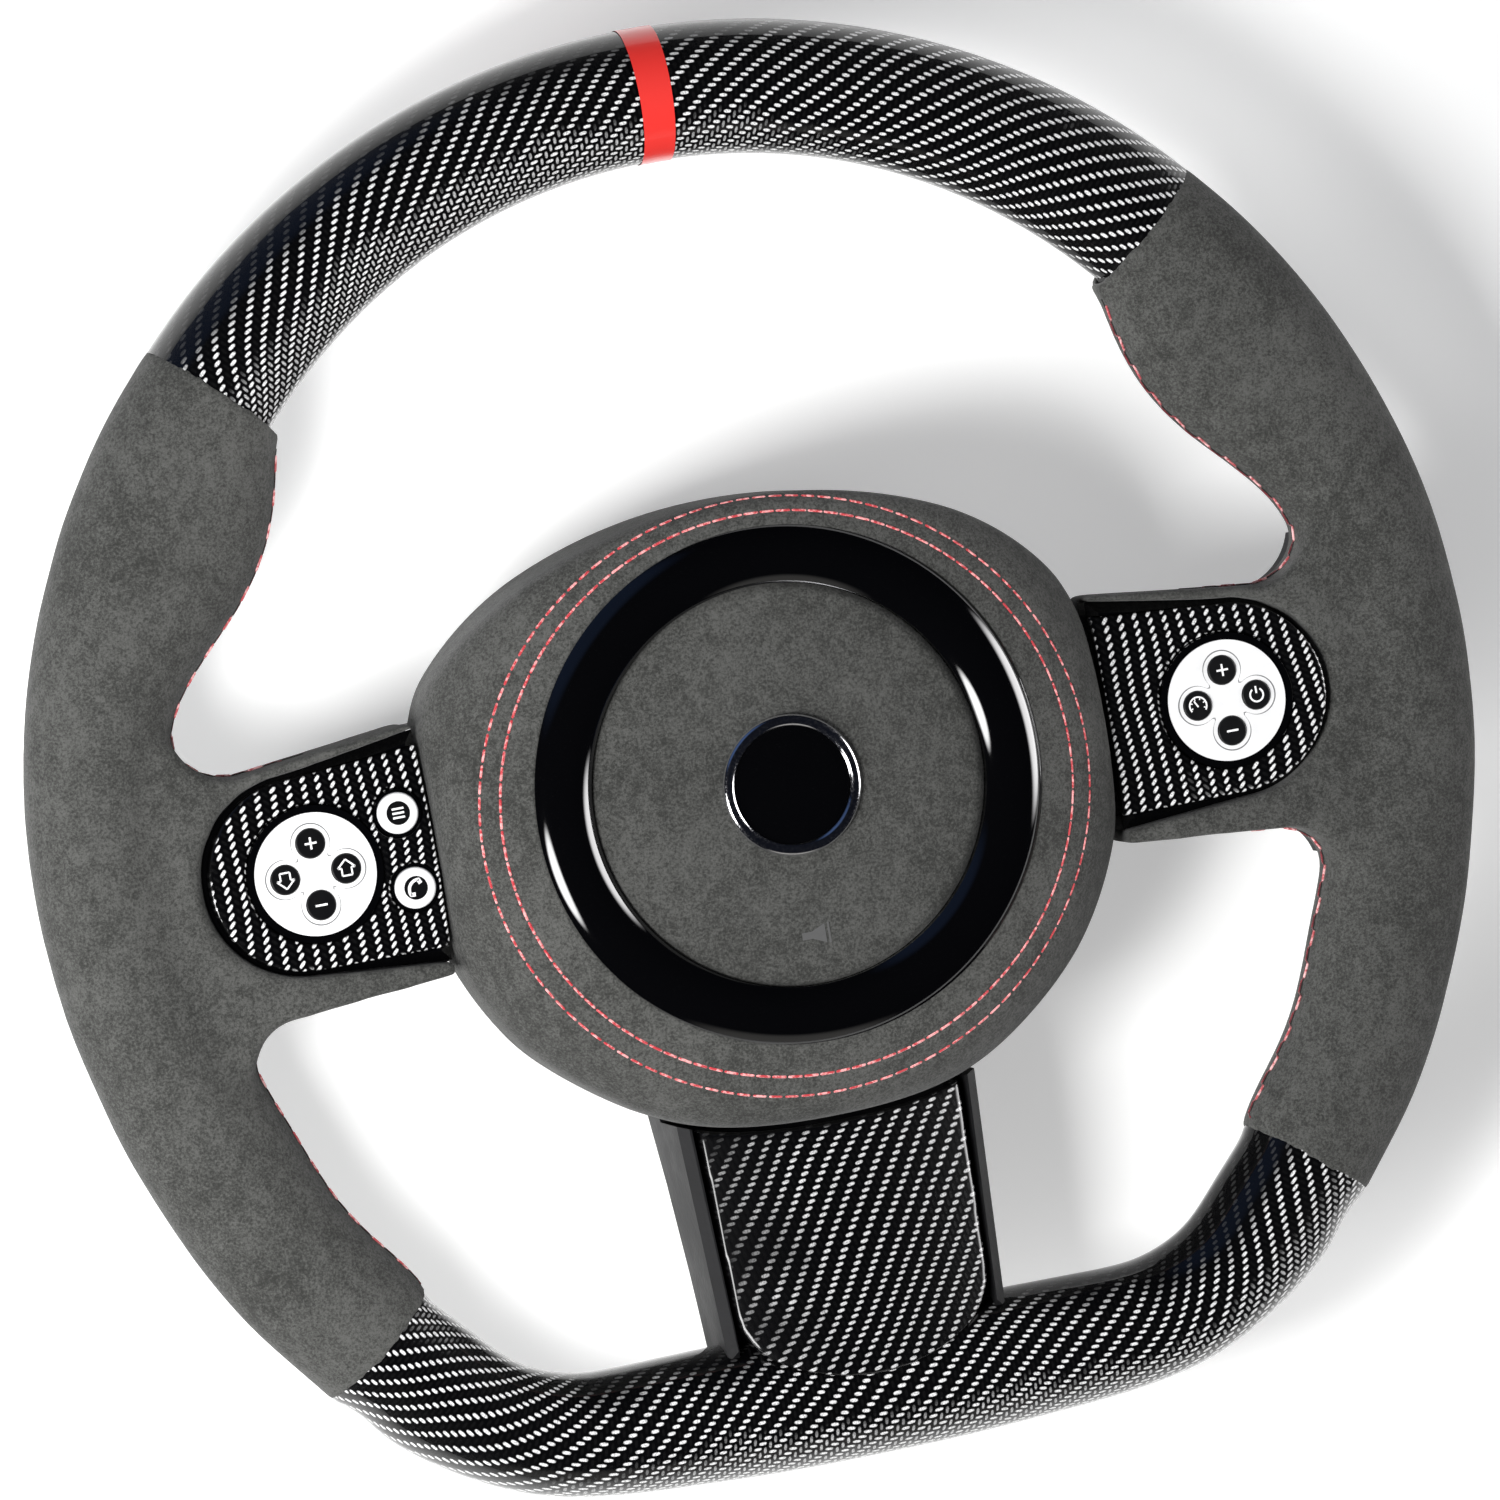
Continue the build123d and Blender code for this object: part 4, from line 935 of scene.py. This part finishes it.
def flat_symbol(name, outlines, centre, height, body, material, tilt=0.0,
                thick=PRINT_THICKNESS):
    """Thin raised print from closed outlines in millimetres round a centre."""
    bm = bmesh.new()
    for outline in outlines:
        ring = []
        for px, py in outline:
            x = px * cos(tilt) - py * sin(tilt)
            y = px * sin(tilt) + py * cos(tilt)
            ring.append(bm.verts.new((centre[0] + x * MM, centre[1] + y * MM, height)))
        face = bm.faces.new(ring)
        face.normal_update()
        if face.normal.z < 0:
            face.normal_flip()
    raised = bmesh.ops.extrude_face_region(bm, geom=list(bm.faces))
    lifted = [v for v in raised["geom"] if isinstance(v, bmesh.types.BMVert)]
    bmesh.ops.translate(bm, verts=lifted, vec=(0, 0, thick))
    bmesh.ops.recalc_face_normals(bm, faces=bm.faces)
    mesh = bpy.data.meshes.new(name)
    bm.to_mesh(mesh)
    bm.free()
    piece = bpy.data.objects.new(name, mesh)
    bpy.context.scene.collection.objects.link(piece)
    return dress(piece, material, body)


def bar(x0, y0, x1, y1, width):
    """Rectangle along a line."""
    length = hypot(x1 - x0, y1 - y0)
    nx, ny = -(y1 - y0) / length * width / 2, (x1 - x0) / length * width / 2
    return [(x0 + nx, y0 + ny), (x0 - nx, y0 - ny), (x1 - nx, y1 - ny), (x1 + nx, y1 + ny)]


def arc_band(radius, width, start, end, steps=20):
    """Part of a flat ring, angles in degrees."""
    angles = [radians(start + (end - start) * k / steps) for k in range(steps + 1)]
    outer = [((radius + width / 2) * cos(a), (radius + width / 2) * sin(a)) for a in angles]
    inner = [((radius - width / 2) * cos(a), (radius - width / 2) * sin(a)) for a in angles]
    return outer + inner[::-1]


def hollow_arrow(turn):
    """Outlined block arrow, pointing up before it is turned."""
    points = [(0, 2.3), (2.2, 0.2), (1.25, 0.2), (1.25, -1.7), (-1.25, -1.7), (-1.25, 0.2), (-2.2, 0.2)]
    turned = [(x * cos(turn) - y * sin(turn), x * sin(turn) + y * cos(turn)) for x, y in points]
    return [bar(*turned[k], *turned[(k + 1) % len(turned)], 0.42) for k in range(len(turned))]


def disc(radius, steps=32):
    return [(radius * cos(2 * pi * k / steps), radius * sin(2 * pi * k / steps)) for k in range(steps)]


CLOVER_REACH = 7.7          # mm from the middle of the disc to the middle of a lobe
CLOVER_LOBE_R = 4.9
CLOVER_HALF_LINE = 0.16


def clover_outline():
    """Four round lobes, one about each key of a disc, as (turn, radius) points."""
    count = 240
    points = []
    for k in range(count):
        turn = 2 * pi * k / count
        off = (turn + pi / 4) % (pi / 2) - pi / 4
        aside = abs(CLOVER_REACH * sin(off))
        radius = CLOVER_REACH * cos(off)
        if aside < CLOVER_LOBE_R:
            radius += sqrt(CLOVER_LOBE_R ** 2 - aside ** 2)
        points.append((turn, radius))
    return points


def centre_of(boxes):
    """Mean x and y of several boxes."""
    corners = [corner for box in boxes for corner in box]
    return (sum(c.x for c in corners) / len(corners), sum(c.y for c in corners) / len(corners))


def make_clovers():
    """Fine grey line round the four keys of each disc, painted shade of the groove there."""
    half = CLOVER_HALF_LINE
    for side in ("left", "right"):
        keys = [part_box(f"{side}_key_{way}") for way in ("up", "down", "left", "right")]
        curve = clover_outline()
        outlines = []
        for (a, r), (b, q) in zip(curve, curve[1:] + curve[:1]):
            outlines.append([((r - half) * cos(a), (r - half) * sin(a)),
                             ((r + half) * cos(a), (r + half) * sin(a)),
                             ((q + half) * cos(b), (q + half) * sin(b)),
                             ((q - half) * cos(b), (q - half) * sin(b))])
        face_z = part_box(f"{side}_switch_face")[1].z
        flat_symbol(f"{side}_clover_line", outlines, centre_of(keys), face_z - PRINT_SINK,
                    WHEEL, GROOVE_SHADE_GREY, 0.0, 0.03 * MM)


def plus_sign():
    return [bar(-1.5, 0, 1.5, 0, 0.5), bar(0, 0.25, 0, 1.5, 0.5), bar(0, -1.5, 0, -0.25, 0.5)]


def minus_sign():
    return [bar(-1.5, 0, 1.5, 0, 0.5)]


def gauge_sign():
    """Round dial with ticks and a pointer."""
    ticks = [radians(degree) for degree in range(-20, 201, 44)]
    return ([arc_band(2.2, 0.4, -35, 215), bar(0, -0.3, -0.9, 1.3, 0.4)]
            + [bar(1.5 * cos(a), 1.5 * sin(a), 1.95 * cos(a), 1.95 * sin(a), 0.28) for a in ticks])


def power_sign():
    return [arc_band(1.7, 0.45, 125, 415), bar(0, 0.4, 0, 2.2, 0.45)]


def handset_sign():
    """Telephone handset, set a little to one side so that its curve is centred."""
    parts = [arc_band(2.5, 0.75, 115, 245), bar(-1.35, 2.1, -0.35, 1.5, 1.0),
             bar(-1.35, -2.1, -0.35, -1.5, 1.0)]
    return [[(x + 0.9, y) for x, y in outline] for outline in parts]


def list_sign():
    return [bar(-1.5, y, 1.5, y, 0.5) for y in (-1.1, 0.0, 1.1)]


def make_symbols():
    """White signs on the eight black keys, and black dots with signs on the two others."""
    marks = {
        "left_key_up": plus_sign(),
        "left_key_down": minus_sign(),
        "left_key_left": hollow_arrow(pi),
        "left_key_right": hollow_arrow(0),
        "right_key_up": plus_sign(),
        "right_key_down": minus_sign(),
        "right_key_left": gauge_sign(),
        "right_key_right": power_sign(),
    }
    for node, outlines in marks.items():
        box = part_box(node)
        flat_symbol(f"{node}_symbol", outlines, centre_of([box]), box[1].z - PRINT_SINK,
                    f"{node}_body", SYMBOL_WHITE)
    dotted = {
        "left_key_aux_upper": (list_sign(), 0.0),
        "left_key_aux_lower": (handset_sign(), -0.6),
    }
    for node, (outlines, tilt) in dotted.items():
        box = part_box(node)
        flat_symbol(f"{node}_dot", [disc(2.95)], centre_of([box]), box[1].z - PRINT_SINK,
                    f"{node}_body", KEY_BLACK, 0.0, 0.05 * MM)
        flat_symbol(f"{node}_symbol", outlines, centre_of([box]), box[1].z + 0.03 * MM,
                    f"{node}_body", SYMBOL_WHITE, tilt)


HORN_PLACE = (0.0, -37.5 * MM)


def make_horn_mark():
    """Small embossed horn sign low on the centre cap, following its crown."""
    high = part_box("pad_cap")[1]
    outlines = [
        [(-3.6, -0.9), (-3.6, 0.9), (-1.0, 0.9), (-1.0, -0.9)],
        [(-1.0, -0.9), (-1.0, 0.9), (2.4, 2.4), (2.4, -2.4)],
        bar(3.3, -2.6, 3.3, 2.6, 0.5),
    ]
    mark = flat_symbol("cap_horn_mark", outlines, HORN_PLACE, high.z + 0.02 * MM, MODULE,
                       MARK_GREY)
    co = coordinates(mark)
    co[:, 2] -= CAP_CROWN * (np.hypot(co[:, 0], co[:, 1]) / high.x) ** 2
    set_coordinates(mark, co)


# ------------------------------------------------------------------ studio
# Patches of light round the dark room, seen in the gloss: degrees from +X,
# degrees of height, half width in degrees, brightness, colour.
GLOWS = (
    (198, 27, 15, 18.0, (1.0, 1.0, 1.0)),
    (2, 8, 22, 10.0, (1.0, 0.99, 1.0)),
    (272, 4, 26, 0.4, (1.0, 0.97, 0.92)),
    (125, 16, 34, 0.18, (0.25, 0.45, 1.0)),
)
ROOM = (0.006, 0.007, 0.011)
GLOW_CORE = 0.45            # share of the half width that has full brightness

# Soft lamps that shape the wheel and its shadow and stay out of the gloss:
# name, degrees from +X, degrees of height, distance, size, watts.
LAMPS = (
    ("key", 190, 57, 0.74, 0.20, 6.8),
    ("overhead", 60, 84, 1.8, 2.2, 5.0),
)


def toward(azimuth, height):
    """Unit vector from an azimuth and a height in degrees."""
    turn, rise = radians(azimuth), radians(height)
    return Vector((cos(turn) * cos(rise), sin(turn) * cos(rise), sin(rise)))


def make_world():
    """Dark room with a few patches of light."""
    world = bpy.data.worlds.new("studio")
    world.use_nodes = True
    tree = world.node_tree
    sky = tree.nodes.new("ShaderNodeTexCoord").outputs["Generated"]

    def vector_math(operation, first, second):
        node = tree.nodes.new("ShaderNodeVectorMath")
        node.operation = operation
        for socket, value in zip(node.inputs, (first, second)):
            if isinstance(value, bpy.types.NodeSocket):
                tree.links.new(value, socket)
            else:
                socket.default_value = value
        return node

    total = ROOM
    for azimuth, height, wide, level, colour in GLOWS:
        dot = vector_math("DOT_PRODUCT", sky, toward(azimuth, height))
        spread = tree.nodes.new("ShaderNodeMapRange")
        spread.interpolation_type = "SMOOTHSTEP"
        tree.links.new(dot.outputs["Value"], spread.inputs["Value"])
        spread.inputs["From Min"].default_value = cos(radians(wide))
        spread.inputs["From Max"].default_value = cos(radians(wide * GLOW_CORE))
        spread.inputs["To Max"].default_value = level
        tint = vector_math("SCALE", colour, (0.0, 0.0, 0.0))
        tree.links.new(spread.outputs[0], tint.inputs["Scale"])
        total = vector_math("ADD", tint.outputs[0], total).outputs[0]
    tree.links.new(total, tree.nodes["Background"].inputs["Color"])
    bpy.context.scene.world = world


def make_floor():
    """Pale floor that glows a little, so that it stays white round the wheel."""
    bpy.ops.mesh.primitive_plane_add(size=6.0, location=(0, 0, cad_low.z))
    floor = bpy.context.object
    floor.name = "studio_floor"
    s = Shader("studio_floor")
    s.set(Base_Color=s.mix(s.noise(3, 2), [0.90, 0.90, 0.89], [0.94, 0.94, 0.93]), Roughness=0.7,
          Emission_Color=[1.0, 1.0, 1.0], Emission_Strength=0.28)
    floor.data.materials.append(s.material)


def make_lamps():
    aim = Vector((0, 0, RIM_Z))
    for name, azimuth, height, distance, size, power in LAMPS:
        data = bpy.data.lights.new(name, "AREA")
        data.size = size
        data.energy = power
        lamp = bpy.data.objects.new(name, data)
        lamp.location = aim + toward(azimuth, height) * distance
        lamp.rotation_euler = (aim - lamp.location).to_track_quat("-Z", "Y").to_euler()
        lamp.visible_glossy = False
        bpy.context.scene.collection.objects.link(lamp)


def make_studio():
    make_floor()
    make_world()
    make_lamps()
    bpy.context.scene.view_settings.view_transform = "Standard"


CAMERA_DISTANCE = 2.4
CAMERA_LEAN = (radians(-12.2), radians(3.5))    # from straight above, towards +X and +Y
CAMERA_ROLL = radians(10.0)
FRAME_WIDTH = 373.7 * MM
AIM_OFFSET = (-3.3 * MM, 7.9 * MM)              # right and up in the picture, from the hub


def make_camera():
    """Long lens from above, a little to the left of the hub, rolled to the right."""
    back = Vector((sin(CAMERA_LEAN[0]), sin(CAMERA_LEAN[1]), 0))
    back.z = sqrt(1 - back.length_squared)
    side = Vector((0, 1, 0)).cross(back).normalized()
    up = back.cross(side)
    turned_side = side * cos(CAMERA_ROLL) - up * sin(CAMERA_ROLL)
    turned_up = side * sin(CAMERA_ROLL) + up * cos(CAMERA_ROLL)
    target = Vector((0, 0, RIM_Z)) + turned_side * AIM_OFFSET[0] + turned_up * AIM_OFFSET[1]
    data = bpy.data.cameras.new("camera")
    data.sensor_width = 36.0
    data.lens = data.sensor_width * CAMERA_DISTANCE / FRAME_WIDTH
    data.clip_end = 20.0
    camera = bpy.data.objects.new("camera", data)
    camera.location = target + back * CAMERA_DISTANCE
    camera.rotation_euler = Matrix((turned_side, turned_up, back)).transposed().to_euler()
    bpy.context.scene.collection.objects.link(camera)
    bpy.context.scene.camera = camera


# ------------------------------------------------------------------ build
paint_cad_nodes()
make_rim_shells()
for side_name in ("left", "right"):
    grip = make_grip(side_name)
    make_grip_seam(side_name, grip)
    make_panel(f"{side_name}_spoke_trim", f"{side_name}_carbon_trim", CARBON_TRIM, 0.5 * MM, 8)
make_panel("bottom_spoke_cover", "bottom_carbon_cover", CARBON_COVER, 0.6 * MM, 16)
pad_skin = make_pad_skin()
make_pad_stitches(pad_skin)
make_pad_ring()
make_centre_cap()
make_symbols()
make_clovers()
make_horn_mark()
make_studio()
make_camera()
